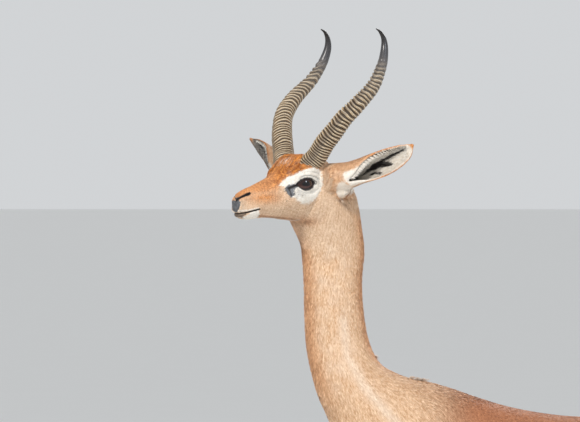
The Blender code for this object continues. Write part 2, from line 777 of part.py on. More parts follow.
def coronet_cut(foot_x):
    """The slanting plane between a leg and its claws."""
    slope = (CORONET_HEEL_HEIGHT - CORONET_TOE_HEIGHT) / (HOOF_TOP_HEEL - HOOF_TOP_TOE)
    return (foot_x + HOOF_TOP_TOE, 0, CORONET_TOE_HEIGHT + GAP / 2), (-slope, 0, 1)


def tail():
    rings = []
    rows = through(TAIL_STATIONS, 3)
    run = np.gradient(rows[:, :2], axis=0)
    for (x, z, deep, wide), (dx, dz) in zip(rows, run):
        forward = Vector((dx, 0, dz)).normalized().cross(Vector((0, 1, 0)))
        ring = []
        for i in range(16):
            angle = math.tau * i / 16
            ring.append(
                Vector((x, 0, z))
                + forward * (deep * math.cos(angle))
                + Vector((0, wide * math.sin(angle), 0))
            )
        rings.append(ring)
    return loft("tail_form", rings)


def tuft_lock(index):
    """One tapering lock of the tuft that ends the tail."""
    turn = TAIL_LOCK_TURN * index
    spread = TAIL_LOCK_SPREAD * math.sqrt((index + 0.5) / TAIL_LOCKS)
    length = TAIL_LOCK_LENGTH * (0.72 + 0.28 * ((index * 7) % TAIL_LOCKS) / TAIL_LOCKS)
    rings = []
    for share in (0, 0.2, 0.45, 0.7, 0.88, 1):
        bulge = spread * (0.55 + 1.1 * math.sin(math.pi * min(1, share * 0.9)) - 0.35 * share)
        swing = TAIL_LOCK_SWING * share
        middle = Vector(TAIL_TUFT_ROOT) + Vector(
            (math.cos(turn) * bulge + swing, math.sin(turn) * bulge, -length * share)
        )
        radius = 0.0046 * (1 - share) ** 0.6 + 0.0009
        rings.append(
            [
                middle + Vector((math.cos(a), math.sin(a), 0)) * radius
                for a in (math.tau * i / 10 for i in range(10))
            ]
        )
    return loft(f"lock_{index}", rings)


MATERIALS = {
    "coat": ((0.52, 0.30, 0.15), 0.75),
    "horn": ((0.16, 0.12, 0.09), 0.45),
    "hoof": ((0.03, 0.028, 0.026), 0.40),
    "eye": ((0.03, 0.015, 0.01), 0.05),
    "tuft": ((0.02, 0.017, 0.015), 0.6),
}


def finish_node(made, name, kind):
    """Gives the node its name and a material of its own."""
    made.name = name
    made.data.name = name
    colour, roughness = MATERIALS[kind]
    material = bpy.data.materials.new(name)
    material.use_nodes = True
    shader = material.node_tree.nodes["Principled BSDF"]
    shader.inputs["Base Color"].default_value = (*colour, 1)
    shader.inputs["Roughness"].default_value = roughness
    made.data.materials.clear()
    made.data.materials.append(material)
    made.data.shade_smooth()
    made.data.set_sharp_from_angle(angle=math.radians(45))


def settle(nodes):
    """Moves everything so that the origin is on the ground, under the middle of the model."""
    corners = np.array([v.co for made in nodes for v in made.data.vertices])
    low, high = corners.min(axis=0), corners.max(axis=0)
    shift = Vector((-(low[0] + high[0]) / 2, -(low[1] + high[1]) / 2, -low[2]))
    for made in nodes:
        made.data.transform(Matrix.Translation(shift))


parts = bpy.data.collections.new(COLLECTION)


def main():
    for old in list(bpy.data.objects):
        bpy.data.objects.remove(old)
    bpy.context.scene.collection.children.link(parts)

    # The soft form, coarse for the body and finer for the head
    body_pieces = [trunk(), nape(), skull(), *legs()]
    body = thinned(melted(body_pieces, BODY_VOXEL, "body_dense"), BODY_TRIANGLES, "body")
    remove(*body_pieces)
    head_pieces = [trunk(), nape(), skull()]
    top = melted(head_pieces, HEAD_VOXEL, "top_dense")
    remove(*head_pieces)
    spare = (Vector(NECK_TOP_CUT[0]) - Vector((0, 0, 0.02)), NECK_TOP_CUT[1])
    top_only = sliced(top, "top_only", NOSE_TIP, (spare, 1))
    remove(top)
    top = thinned(top_only, HEAD_TRIANGLES, "top")

    nodes = []

    def node(made, name, kind="coat"):
        finish_node(made, name, kind)
        nodes.append(made)
        return made

    # Head, with its lids, mouth and nostrils
    head = sliced(top, "head_form", NOSE_TIP, (NECK_TOP_CUT, 1))
    remove(top)
    for side in SIDES:
        for made, kind in ((ear(side), "coat"), (horn(side), "horn")):
            boolean(made, "DIFFERENCE", swollen(head, GAP))
            node(keep_largest(made), made.name, kind)
    boolean(head, "UNION", *[lids(side) for side in SIDES])
    boolean(head, "DIFFERENCE", *[eye_opening(side) for side in SIDES])
    boolean(head, "DIFFERENCE", *[eye_socket(side) for side in SIDES])
    boolean(head, "DIFFERENCE", mouth_groove())
    boolean(head, "DIFFERENCE", *[nostril(side) for side in SIDES])
    node(keep_largest(head), "head")
    for side in SIDES:
        node(eye(side), f"eye_{side}", "eye")

    # Neck, trunk and tail
    neck_top = sliced(
        body, "neck_upper", (-0.12, 0, 1.2), (NECK_TOP_CUT, -1), (NECK_MIDDLE_CUT, 1)
    )
    neck_low = sliced(
        body, "neck_lower", (-0.11, 0, 1.05), (NECK_MIDDLE_CUT, -1), (NECK_BASE_CUT, 1)
    )
    torso = sliced(
        body,
        "torso",
        (0.2, 0, 0.93),
        (NECK_BASE_CUT, -1),
        (ELBOW_CUT, 1),
        (STIFLE_CUT, 1),
    )
    node(neck_top, "neck_upper")
    node(neck_low, "neck_lower")
    node(torso, "torso")
    hanging = boolean(tail(), "DIFFERENCE", swollen(torso, GAP))
    node(keep_largest(hanging), "tail")

    # Legs
    for side, sign in SIDES.items():
        fore_step = LEFT_FORE_STEP if sign == LEFT else RIGHT_FORE_STEP
        hind_step = LEFT_HIND_STEP if sign == LEFT else RIGHT_HIND_STEP
        fore_x, hind_x = fore_step, HIND_FOOT_X + hind_step
        fore_y, hind_y = sign * FORE_TRACK, sign * HIND_TRACK
        fore_point, hind_point = (0.06, fore_y, 0.55), (0.61, hind_y, 0.56)
        node(
            sliced(body, f"forearm_{side}", fore_point, (ELBOW_CUT, -1), (KNEE_CUT, 1)),
            f"forearm_{side}",
        )
        node(
            sliced(body, f"gaskin_{side}", hind_point, (STIFLE_CUT, -1), (HOCK_CUT, 1)),
            f"gaskin_{side}",
        )
        fore_foot, hind_foot = (fore_x + 0.05, fore_y, 0.25), (hind_x + 0.05, hind_y, 0.25)
        node(
            sliced(body, f"fore_cannon_{side}", fore_foot, (KNEE_CUT, -1), (coronet_cut(fore_x), 1)),
            f"fore_cannon_{side}",
        )
        node(
            sliced(body, f"hind_cannon_{side}", hind_foot, (HOCK_CUT, -1), (coronet_cut(hind_x), 1)),
            f"hind_cannon_{side}",
        )
        for foot, x, y in (("fore", fore_x, fore_y), ("hind", hind_x, hind_y)):
            for place, toe_side in (("outer", sign), ("inner", -sign)):
                name = f"hoof_{foot}_{side}_{place}"
                node(claw(name, x, y, toe_side), name, "hoof")

    # The tuft of the tail, cut clear of it
    locks = [tuft_lock(i) for i in range(TAIL_LOCKS)]
    dense = melted(locks, TAIL_TUFT_VOXEL, "tuft_dense")
    tuft = thinned(dense, TAIL_TUFT_TRIANGLES, "tuft")
    remove(*locks)
    boolean(tuft, "DIFFERENCE", swollen(bpy.data.objects["tail"], GAP))
    node(keep_largest(tuft), "tail_tuft", "tuft")

    remove(body)
    settle(nodes)


main()
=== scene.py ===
"""The looks of a life-size male gerenuk: one skin, its coat, horns, eyes, hooves and tail brush.

The shapes are drawn in the same way as the solids of the frame, but finer, and in the same
modelling place: the animal faces -X, its left side is -Y, up is +Z, and sizes are in metres.
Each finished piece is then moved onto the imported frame, whose left eye shows where that is.
"""

import math

import bmesh
import bpy
import numpy as np
from mathutils import Matrix, Vector


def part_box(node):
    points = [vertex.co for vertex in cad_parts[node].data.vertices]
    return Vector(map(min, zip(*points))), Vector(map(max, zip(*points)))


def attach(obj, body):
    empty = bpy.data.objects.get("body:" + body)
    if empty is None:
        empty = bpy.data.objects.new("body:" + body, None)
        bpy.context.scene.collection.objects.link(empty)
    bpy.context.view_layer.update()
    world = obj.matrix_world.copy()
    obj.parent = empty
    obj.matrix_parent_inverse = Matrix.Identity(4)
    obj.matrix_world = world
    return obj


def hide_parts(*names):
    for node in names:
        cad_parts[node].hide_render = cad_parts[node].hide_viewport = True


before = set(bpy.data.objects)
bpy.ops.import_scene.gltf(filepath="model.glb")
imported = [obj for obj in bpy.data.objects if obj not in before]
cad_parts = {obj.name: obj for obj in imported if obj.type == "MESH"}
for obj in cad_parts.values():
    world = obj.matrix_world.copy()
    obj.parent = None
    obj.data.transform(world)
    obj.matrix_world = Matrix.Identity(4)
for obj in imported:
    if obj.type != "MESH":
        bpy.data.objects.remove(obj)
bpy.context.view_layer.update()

# Head: a frame of its own, with its origin at the tip of the nose, +X back, +Y to the right, +Z up
NOSE_TIP = np.array((-0.293, -0.163, 1.286))
HEAD_TURN = math.radians(45)
HEAD_DROP = math.radians(10)
HEAD_TURNED = np.array(Matrix.Rotation(HEAD_TURN, 3, "Z") @ Matrix.Rotation(-HEAD_DROP, 3, "Y"))

# Eye, in the head's frame, for the right side; the left one is mirrored
EYE_CENTRE = np.array((0.1470, 0.0290, 0.0135))
EYE_RADIUS = 0.0185
EYE_OUTWARD = np.array((-0.30, 0.94, 0.10)) / np.linalg.norm((-0.30, 0.94, 0.10))
EYE_REARWARD = np.array((0.95, 0.28, -0.06))
LID_OPENING_LENGTH = 0.0370
LID_OPENING_HEIGHT = 0.0200
LID_ALMOND = 0.30
LID_THICKNESS = 0.0017
LID_PRESSED_IN = 0.0030
SOCKET_DEPTH = 0.0030
LEFT, RIGHT = -1, 1
SIDES = {"left": LEFT, "right": RIGHT}

# Horn, in the head's frame turned level: distance back from the nose, distance to the side,
# height above the ground, thickness
HORN_STATIONS = (
    (0.150, 0.024, 1.336, 0.0400),
    (0.159, 0.031, 1.359, 0.0395),
    (0.168, 0.041, 1.374, 0.0385),
    (0.176, 0.052, 1.396, 0.0375),
    (0.186, 0.063, 1.415, 0.0360),
    (0.201, 0.075, 1.440, 0.0330),
    (0.219, 0.082, 1.458, 0.0305),
    (0.241, 0.085, 1.477, 0.0275),
    (0.259, 0.084, 1.491, 0.0250),
    (0.276, 0.080, 1.507, 0.0225),
    (0.291, 0.076, 1.527, 0.0195),
    (0.300, 0.073, 1.543, 0.0170),
    (0.306, 0.070, 1.563, 0.0135),
    (0.305, 0.069, 1.579, 0.0095),
    (0.297, 0.068, 1.591, 0.0055),
    (0.287, 0.068, 1.5965, 0.0016),
)
HORN_RINGED_SHARE = 0.81
HORN_RIDGE = 0.0048

# How far apart the rings of a horn are, by the share of its length
HORN_RING_GAPS = (
    (0.00, 0.0033), (0.10, 0.0041), (0.20, 0.0050), (0.34, 0.0064), (0.50, 0.0080), (0.70, 0.0098),
    (1.00, 0.0105),
)

# Limbs
HIP_HEIGHT = 0.880
FORE_STEP = {"left": -0.035, "right": 0.020}
HIND_STEP = {"left": 0.030, "right": -0.030}
TRACK = 0.068
HIND_FOOT_X = 0.594
CORONET_TOE_HEIGHT = 0.050
CORONET_HEEL_HEIGHT = 0.028
HOOF_TOE = -0.0320
HOOF_HEEL = 0.0335
CLAW_WIDTH = 0.0175
HOOF_TOP_TOE = -0.0010
HOOF_TOP_HEEL = 0.0330
CLAW_SPLIT = 0.0016
PASTERN_SLANT = 0.52

# The trunk and neck, from the rump to the head: each station gives the line of the back (x, z),
# the line of the belly or throat (x, z), the half width, and the height of the widest place
TRUNK_STATIONS = (
    (0.690, 0.858, 0.700, 0.800, 0.018, 0.50),
    (0.668, 0.884, 0.690, 0.772, 0.050, 0.50),
    (0.625, 0.910, 0.655, 0.750, 0.074, 0.52),
    (0.570, 0.928, 0.590, 0.738, 0.087, 0.52),
    (0.505, 0.932, 0.510, 0.722, 0.093, 0.50),
    (0.435, 0.924, 0.430, 0.700, 0.101, 0.48),
    (0.365, 0.918, 0.340, 0.676, 0.110, 0.46),
    (0.295, 0.920, 0.245, 0.660, 0.115, 0.46),
    (0.232, 0.928, 0.150, 0.656, 0.113, 0.46),
    (0.180, 0.939, 0.065, 0.672, 0.106, 0.46),
    (0.135, 0.952, -0.005, 0.712, 0.098, 0.46),
    (0.095, 0.966, -0.062, 0.778, 0.088, 0.46),
    (0.058, 0.977, -0.102, 0.852, 0.077, 0.48),
    (0.022, 0.984, -0.126, 0.912, 0.067, 0.50),
    (-0.012, 0.997, -0.145, 0.956, 0.059, 0.50),
    (-0.036, 1.014, -0.158, 1.002, 0.053, 0.50),
    (-0.053, 1.050, -0.166, 1.045, 0.048, 0.50),
    (-0.062, 1.100, -0.169, 1.096, 0.044, 0.50),
    (-0.065, 1.155, -0.170, 1.150, 0.042, 0.50),
    (-0.061, 1.205, -0.173, 1.196, 0.041, 0.50),
    (-0.066, 1.250, -0.176, 1.232, 0.041, 0.50),
    (-0.072, 1.288, -0.186, 1.264, 0.041, 0.50),
    (-0.081, 1.318, -0.192, 1.290, 0.038, 0.50),
    (-0.100, 1.342, -0.182, 1.316, 0.026, 0.50),
)

# Where the neck turns into the head: height, place (x, y), half size along and across, turn
NAPE_STATIONS = (
    (1.185, -0.117, 0.000, 0.0520, 0.0400, 0),
    (1.222, -0.121, -0.004, 0.0560, 0.0425, 12),
    (1.252, -0.130, -0.012, 0.0615, 0.0450, 24),
    (1.280, -0.142, -0.022, 0.0640, 0.0470, 35),
    (1.305, -0.150, -0.030, 0.0580, 0.0450, 42),
    (1.325, -0.153, -0.033, 0.0420, 0.0360, 45),
)

# The head, from the nose back: place along it, top, bottom, half width, height of the widest
# place, roundness of the upper half and of the lower half
HEAD_STATIONS = (
    (0.0065, 0.002, -0.009, 0.0055, -0.001, 2.0, 2.0),
    (0.0090, 0.0080, -0.0155, 0.0098, -0.001, 2.0, 2.2),
    (0.0140, 0.0148, -0.0220, 0.0140, -0.001, 2.0, 2.3),
    (0.0230, 0.0218, -0.0260, 0.0178, -0.001, 2.0, 2.3),
    (0.036, 0.0254, -0.0288, 0.0194, -0.002, 2.0, 2.2),
    (0.052, 0.0276, -0.0302, 0.0208, -0.003, 1.9, 2.0),
    (0.072, 0.0310, -0.0330, 0.0232, -0.004, 1.9, 1.9),
    (0.092, 0.0345, -0.0375, 0.0280, -0.004, 1.9, 1.8),
    (0.108, 0.0385, -0.0420, 0.0335, -0.001, 2.0, 1.8),
    (0.125, 0.0470, -0.0465, 0.0405, 0.006, 1.9, 1.8),
    (0.142, 0.0565, -0.0510, 0.0455, 0.010, 1.95, 1.9),
    (0.160, 0.0610, -0.0545, 0.0460, 0.010, 2.4, 1.9),
    (0.180, 0.0595, -0.0540, 0.0440, 0.008, 2.7, 2.0),
    (0.200, 0.0545, -0.0480, 0.0420, 0.006, 2.7, 2.0),
    (0.218, 0.0450, -0.0390, 0.0370, 0.004, 2.4, 2.0),
    (0.236, 0.0240, -0.0220, 0.0220, 0.000, 2.0, 2.0),
)

# Soft swellings and hollows of the head, in its frame, for the right side: centre, reach, height
HEAD_SWELLINGS = {
    "brow": ((0.139, 0.0420, 0.032), (0.024, 0.022, 0.009), 0.0050),
    "cheekbone": ((0.142, 0.0460, -0.010), (0.034, 0.024, 0.008), 0.0026),
    "jaw muscle": ((0.170, 0.0400, -0.030), (0.027, 0.030, 0.022), 0.0034),
    "gland": ((0.107, 0.0340, 0.010), (0.011, 0.020, 0.0055), -0.0028),
    "hollow before the eye": ((0.119, 0.0400, 0.022), (0.012, 0.020, 0.011), -0.0022),
    "wing of the nostril": ((0.018, 0.0150, 0.0150), (0.012, 0.010, 0.006), 0.0022),
    "upper lip": ((0.022, 0.0180, -0.0075), (0.022, 0.020, 0.0045), 0.0018),
    "lower lip": ((0.024, 0.0160, -0.0190), (0.018, 0.020, 0.0040), 0.0014),
    "corner of the mouth": ((0.050, 0.0200, -0.0120), (0.006, 0.010, 0.005), 0.0014),
    "temple": ((0.186, 0.0420, 0.030), (0.011, 0.020, 0.014), -0.0030),
    "root of the ear": ((0.205, 0.0420, 0.022), (0.020, 0.022, 0.024), 0.0080),
    "bulb of the ear": ((0.207, 0.0450, -0.008), (0.013, 0.020, 0.013), 0.0040),
    "root of the horn": ((0.166, 0.0400, 0.043), (0.022, 0.018, 0.017), 0.0070),
}

# Lines of the face, in millimetres to the rear of the nose and above it, as seen from the side and
# a little from in front; they are the same on both sides: path, width, height of the fold
FACE_LINES = {
    "nostril": (((7, 10.5), (13, 15), (22, 20.2), (31, 24)), 1.7, -3.2),
    "wing of the nostril": (((12, 7.5), (20, 12.5), (31, 16.5)), 2.4, 1.0),
    "mouth": (((0, -9.8), (8, -11.9), (15.5, -11.4), (25, -9.8), (34, -7.5), (48, -4)), 1.0, -3.0),
    "upper lip": (((4, -7.5), (13, -7.2), (25, -6.3), (34, -4.7), (45, -2.5)), 1.8, 0.9),
    "lower lip": (((6, -15.5), (17, -16), (28, -12.5), (40, -9)), 1.9, 0.9),
    "chin": (((24, -19), (36, -17), (43, -13)), 3.0, 0.9),
    "parting of the nose": (((-1, 6), (-1.5, -2), (0, -9)), 0.8, -0.5),
    "corner of the eye": (((115, 37), (108, 35.5), (100, 32)), 2.0, -1.3),
    "slit of the gland": (((97, 32), (101, 26), (103, 19)), 2.0, -1.8),
    "front of the gland": (((90, 30), (92, 22), (97, 16)), 2.0, 1.0),
    "rear of the gland": (((111, 31), (109.5, 24), (107, 17)), 2.0, 0.8),
    "crease of the lid": (
        ((115, 48.5), (123, 53.4), (134, 54.4), (145, 50.6), (150, 43), (151, 35)), 1.2, -1.3
    ),
    "roll of the lid": (((117, 52.5), (127, 56.6), (139, 56.2), (148.5, 51.5), (153.5, 43)), 1.5, 0.9),
    "crease of the brow": (((118, 57.4), (132, 60.4), (145, 58.8), (154, 52)), 1.5, -0.9),
    "crease below the eye": (((116, 27.5), (127, 23), (139, 24), (148, 31)), 1.4, -0.9),
    "roll below the eye": (((112, 22), (124, 17.5), (139, 18.5), (151, 28)), 2.4, 0.7),
    "first fold": (((158, 65), (161, 56), (158, 46), (159, 39)), 1.6, -2.4),
    "first roll": (((161.5, 65), (165, 56.5), (162.5, 47), (161, 40)), 1.8, 1.4),
    "second fold": (((165, 66), (169, 57), (167.5, 48), (163.5, 39.5)), 1.6, -2.4),
    "second roll": (((169, 65.5), (172.5, 57), (172, 48.5), (168.5, 40)), 1.8, 1.2),
    "third fold": (((173, 65), (176.5, 57), (178, 49), (174, 40.5)), 1.8, -2.2),
    "third roll": (((180, 64), (184, 56), (186, 48), (185, 41)), 2.4, 1.2),
    "fold of the ear": (((189, 58), (191.5, 50), (196, 42.5), (203, 37.8)), 2.2, -2.0),
    "wrinkle": (((173.5, 30), (178.3, 33.8), (182, 35)), 0.9, -1.2),
    "branch of the wrinkle": (((177.5, 37.5), (178.8, 30)), 0.9, -1.0),
    "under the bulb": (((178, 27), (180, 20), (184, 15), (190, 12), (202, 18), (213, 26)), 2.6, -3.0),
    "crease of the nape": (((196, 11.5), (201, 9.5), (206, 5.5)), 1.4, -1.2),
    "ridge of the brow": (((95, 60), (101, 64), (106, 73.5), (112, 80.5), (119, 86)), 3.0, 2.8),
    "valley of the brow": (((104, 62), (110, 70.5), (116, 77), (124, 81)), 3.4, -2.2),
    "edge of the jaw": (((46, -16), (71, -18.5), (99, -21.5), (118, -26), (132, -29)), 3.0, -0.9),
}

# Soft forms of the body, for the right side: centre, reach, height
BODY_SWELLINGS = {
    "shoulder blade": ((0.052, 0.088, 0.868), (0.016, 0.030, 0.060), 0.0040),
    "behind the shoulder": ((0.128, 0.100, 0.830), (0.022, 0.040, 0.070), -0.0045),
    "point of the shoulder": ((-0.035, 0.060, 0.790), (0.026, 0.030, 0.026), 0.0050),
    "upper arm": ((0.045, 0.098, 0.735), (0.036, 0.030, 0.034), 0.0040),
    "elbow": ((0.100, 0.092, 0.668), (0.014, 0.020, 0.018), 0.0055),
    "hip bone": ((0.478, 0.066, 0.912), (0.020, 0.028, 0.016), 0.0045),
    "hollow of the flank": ((0.430, 0.100, 0.868), (0.036, 0.040, 0.034), -0.0050),
    "fold of the flank": ((0.480, 0.096, 0.735), (0.034, 0.030, 0.040), 0.0040),
    "seat bone": ((0.668, 0.050, 0.850), (0.016, 0.024, 0.020), 0.0045),
    "thigh": ((0.560, 0.104, 0.780), (0.050, 0.040, 0.060), 0.0050),
    "knee cap": ((0.510, 0.090, 0.672), (0.020, 0.024, 0.024), 0.0045),
    "last ribs": ((0.330, 0.112, 0.790), (0.040, 0.040, 0.060), 0.0025),
    "point of the hock": ((0.690, 0.070, 0.470), (0.012, 0.016, 0.018), 0.0020),
}

# Low waves over the ribs, and the depth of the groove down each side of a shank
RIB_HEIGHT = 0.0007
RIB_SPACING = 0.030
SHANK_GROOVE = 0.0016

# Legs: place back, height, half size from front to back, half size across
FORELEG_STATIONS = (
    (0.098, 0.915, 0.034, 0.016),
    (0.078, 0.860, 0.062, 0.030),
    (0.050, 0.800, 0.082, 0.037),
    (0.048, 0.748, 0.078, 0.038),
    (0.062, 0.700, 0.058, 0.034),
    (0.066, 0.655, 0.041, 0.0285),
    (0.062, 0.600, 0.032, 0.0240),
    (0.057, 0.540, 0.0260, 0.0205),
    (0.053, 0.480, 0.0212, 0.0180),
    (0.050, 0.435, 0.0192, 0.0180),
    (0.048, 0.405, 0.0212, 0.0200),
    (0.050, 0.375, 0.0180, 0.0175),
    (0.053, 0.340, 0.0136, 0.0135),
    (0.055, 0.280, 0.0118, 0.0112),
    (0.056, 0.205, 0.0114, 0.0108),
    (0.057, 0.152, 0.0126, 0.0122),
    (0.056, 0.122, 0.0160, 0.0148),
    (0.048, 0.098, 0.0128, 0.0135),
    (0.036, 0.074, 0.0124, 0.0140),
    (0.024, 0.054, 0.0150, 0.0165),
    (0.014, 0.036, 0.0165, 0.0172),
    (0.004, 0.016, 0.0165, 0.0172),
)
FORELEG_Y = ((0.915, 0.046), (0.800, 0.064), (0.655, 0.074), (0.400, 0.070), (0.040, 0.068))
HINDLEG_STATIONS = (
    (0.590, 0.885, 0.060, 0.026),
    (0.586, 0.830, 0.088, 0.040),
    (0.576, 0.770, 0.098, 0.046),
    (0.570, 0.715, 0.092, 0.045),
    (0.575, 0.665, 0.073, 0.039),
    (0.590, 0.615, 0.054, 0.032),
    (0.610, 0.565, 0.041, 0.0255),
    (0.632, 0.515, 0.0315, 0.0205),
    (0.652, 0.470, 0.0270, 0.0180),
    (0.664, 0.438, 0.0262, 0.0178),
    (0.666, 0.405, 0.0222, 0.0168),
    (0.663, 0.368, 0.0168, 0.0142),
    (0.660, 0.310, 0.0138, 0.0124),
    (0.657, 0.230, 0.0128, 0.0116),
    (0.655, 0.168, 0.0136, 0.0128),
    (0.653, 0.134, 0.0174, 0.0155),
    (0.645, 0.108, 0.0136, 0.0138),
    (0.632, 0.082, 0.0128, 0.0142),
    (0.619, 0.058, 0.0154, 0.0165),
    (0.609, 0.038, 0.0168, 0.0172),
    (0.599, 0.018, 0.0168, 0.0172),
)
HINDLEG_Y = ((0.885, 0.044), (0.770, 0.058), (0.615, 0.074), (0.440, 0.070), (0.042, 0.068))
ACHILLES_STATIONS = (
    (0.632, 0.625, 0.0200, 0.0130),
    (0.646, 0.580, 0.0200, 0.0095),
    (0.660, 0.540, 0.0200, 0.0078),
    (0.672, 0.505, 0.0205, 0.0080),
    (0.681, 0.472, 0.0215, 0.0105),
    (0.679, 0.440, 0.0200, 0.0105),
    (0.671, 0.400, 0.0140, 0.0090),
)

# Ear, for the right side, in the head's frame, from its root to its tip: place of the middle of
# its cup, radius of the cup, half angle of the cup in degrees
EAR_STATIONS = (
    (0.200, 0.034, 0.012, 0.0290, 178),
    (0.2105, 0.056, 0.0135, 0.0265, 178),
    (0.219, 0.076, 0.0170, 0.0235, 178),
    (0.2255, 0.094, 0.0220, 0.0222, 160),
    (0.232, 0.114, 0.0270, 0.0230, 124),
    (0.240, 0.141, 0.0345, 0.0235, 88),
    (0.247, 0.162, 0.042, 0.0220, 68),
    (0.252, 0.178, 0.0495, 0.0185, 60),
    (0.2555, 0.1885, 0.056, 0.0132, 52),
    (0.2575, 0.1945, 0.0605, 0.0080, 44),
    (0.2588, 0.1985, 0.0635, 0.0054, 38),
)
EAR_BULB_CENTRE = (0.2110, 0.0580, -0.0115)
EAR_BULB_RADII = (0.0165, 0.0170, 0.0135)
EAR_OPENING_ROOT = np.array((-0.72, 0.10, -0.66))
EAR_OPENING_TIP = np.array((-0.95, 0.20, -0.10))
EAR_WALL = 0.0038
EAR_LIFT = {"left": 0.0, "right": 0.009}
EAR_TIP_SHIFT = {"left": (0, 0, 0), "right": (-0.0058, 0, 0.0015)}

# Tail: place back, height, half size from front to back, half size across
TAIL_STATIONS = (
    (0.664, 0.862, 0.0170, 0.0190),
    (0.694, 0.838, 0.0140, 0.0160),
    (0.712, 0.795, 0.0105, 0.0125),
    (0.720, 0.745, 0.0088, 0.0100),
    (0.724, 0.690, 0.0078, 0.0086),
    (0.725, 0.640, 0.0070, 0.0076),
    (0.724, 0.605, 0.0060, 0.0066),
)
TAIL_BRUSH_TOP = np.array((0.7245, 0, 0.640))
TAIL_BRUSH_LENGTH = 0.105
TAIL_BRUSH_HAIRS = 2600

# Markings of the head, in millimetres in the same view
WHITE_ROUND_EYE = (
    (78.5, 36.2), (84.3, 43.2), (94.8, 50.2), (108.8, 54.8), (118.1, 59.5), (127.5, 64.9),
    (139.1, 67.0), (149.6, 65.3), (153.6, 58.3), (154.8, 49.0), (154.8, 37.3), (152.7, 28.0),
    (147.3, 18.2), (139.1, 10.5), (129.8, 5.1), (120.5, 4.7), (113.0, 7.9), (106.9, 13.5),
    (101.8, 16.3), (94.8, 23.3), (90.1, 32.7),
)
GLAND_PATCH = (
    (89.0, 28.5), (91.3, 33.8), (96.0, 36.9), (104.1, 38.5), (114.6, 42.5), (115.8, 33.8),
    (110.7, 32.2), (107.4, 29.9), (106.7, 23.3), (105.3, 17.5), (101.3, 15.2), (96.7, 18.7),
    (92.0, 22.9),
)
NOSTRIL_PATCH = (
    (4.3, 8.2), (5.7, 12.8), (10.8, 16.3), (16.6, 19.4), (24.8, 23.6), (30.6, 25.4), (32.7, 23.8),
    (30.4, 20.1), (22.5, 17.5), (16.6, 15.6), (10.8, 12.6), (7.3, 9.1),
)
NOSE_PAD = (
    (-9.0, 19.0), (6.0, 16.8), (9.5, 15.4), (12.0, 11.8), (14.8, 8.4), (14.6, 2.0), (12.2, -4.6),
    (6.1, -9.8), (2.6, -11.2), (-9.0, -12.0),
)
LOWER_LIP_PATCH = (
    (-4.0, -11.0), (8.5, -13.0), (16.6, -12.6), (26.0, -10.3), (24.8, -14.0), (16.6, -18.2),
    (8.5, -18.6), (-4.0, -18.0),
)
WHITE_CHIN = (
    (17.7, -18.0), (20.7, -16.4), (28.3, -12.1), (34.1, -8.4), (44.9, -5.6), (47.3, -12.8),
    (43.6, -18.5), (35.0, -30.0), (19.5, -30.0),
)
GREY_UNDER_EYE = (
    (107.0, 31.0), (118.0, 29.0), (130.0, 26.0), (142.0, 30.0), (138.0, 20.0), (124.0, 15.0),
    (110.0, 16.0),
)
WHITE_OF_EAR = (
    (192.3, 58.8), (202.1, 62.3), (211.5, 65.3), (225.5, 71.9), (246.5, 83.3), (258.1, 88.7),
    (274.5, 97.5), (288.5, 102.7), (299.0, 105.5), (304.8, 102.7), (306.0, 95.7), (301.3, 87.5),
    (293.1, 79.3), (283.8, 70.5), (272.1, 61.0), (260.5, 53.0), (246.5, 47.5), (232.5, 43.5),
    (220.8, 39.5), (211.5, 35.5), (204.5, 36.0), (196.3, 44.3), (191.6, 52.5),
)
DARK_OF_EAR = (
    (204.9, 38.5), (213.8, 46.2), (225.5, 54.8), (234.8, 65.3), (244.1, 73.5), (255.8, 80.5),
    (269.8, 87.5), (283.8, 95.7), (299.0, 103.1), (302.9, 102.0), (293.1, 94.5), (281.5, 88.7),
    (272.1, 82.8), (262.8, 78.2), (274.5, 76.3), (277.5, 72.8), (273.3, 68.8), (264.0, 68.4),
    (255.8, 67.2), (244.1, 61.8), (233.6, 57.2), (223.1, 51.3), (213.8, 44.1), (206.8, 37.6),
)
LOWER_DARK_OF_EAR = (
    (234.8, 53.2), (246.0, 58.8), (255.8, 59.7), (258.4, 57.2), (255.8, 54.1), (246.9, 55.3),
    (237.6, 52.5),
)
PALE_BULB = (
    (179.3, 30.3), (181.6, 38.5), (189.3, 43.2), (202.1, 37.8), (208.0, 35.0), (212.0, 29.2),
    (202.1, 21.0), (189.3, 14.0), (183.5, 17.5), (179.7, 24.5),
)

# Dark lines of the face, by name, with half width and strength, and dark specks behind the cheek; the lines
# of the wrinkles, the crease of the nape and the parting of the nose are painted shade in their grooves, and
# the mouth's line is dark lip with painted shade in its gap
DARK_LINES = (
    ("mouth", 1.5, 0.98),
    ("parting of the nose", 0.5, 0.6),
    ("corner of the eye", 2.2, 0.95),
    ("slit of the gland", 1.0, 0.8),
    ("wrinkle", 0.5, 0.7),
    ("branch of the wrinkle", 0.4, 0.7),
    ("crease of the nape", 0.5, 0.5),
)
DARK_SPECKS = ((109.3, 14.9), (119.3, 18.2), (92.5, 10.0), (91.3, -2.3), (113.5, 21.0))

# Path of a painted highlight from the neck down over the shoulder, place back and height in metres
SHOULDER_HIGHLIGHT = ((-0.100, 1.090), (-0.094, 1.026), (-0.066, 0.975), (-0.022, 0.926), (0.020, 0.880))

# White patch round the root of the tail, and the heights of the dark bands of the legs, in metres
RUMP_PATCH_CENTRE = (0.690, 0, 0.800)
RUMP_PATCH_REACH = (0.03, 0.050, 0.062)
DARK_KNEE_HEIGHT = 0.385
DARK_SHANK_HEIGHT = 0.300

# Tufts that stand up on the back of the neck: place back, height, reach
NAPE_TUFTS = ((-0.044, 1.029, 0.0035), (0.016, 0.987, 0.004), (0.026, 0.983, 0.0045), (0.036, 0.979, 0.004))

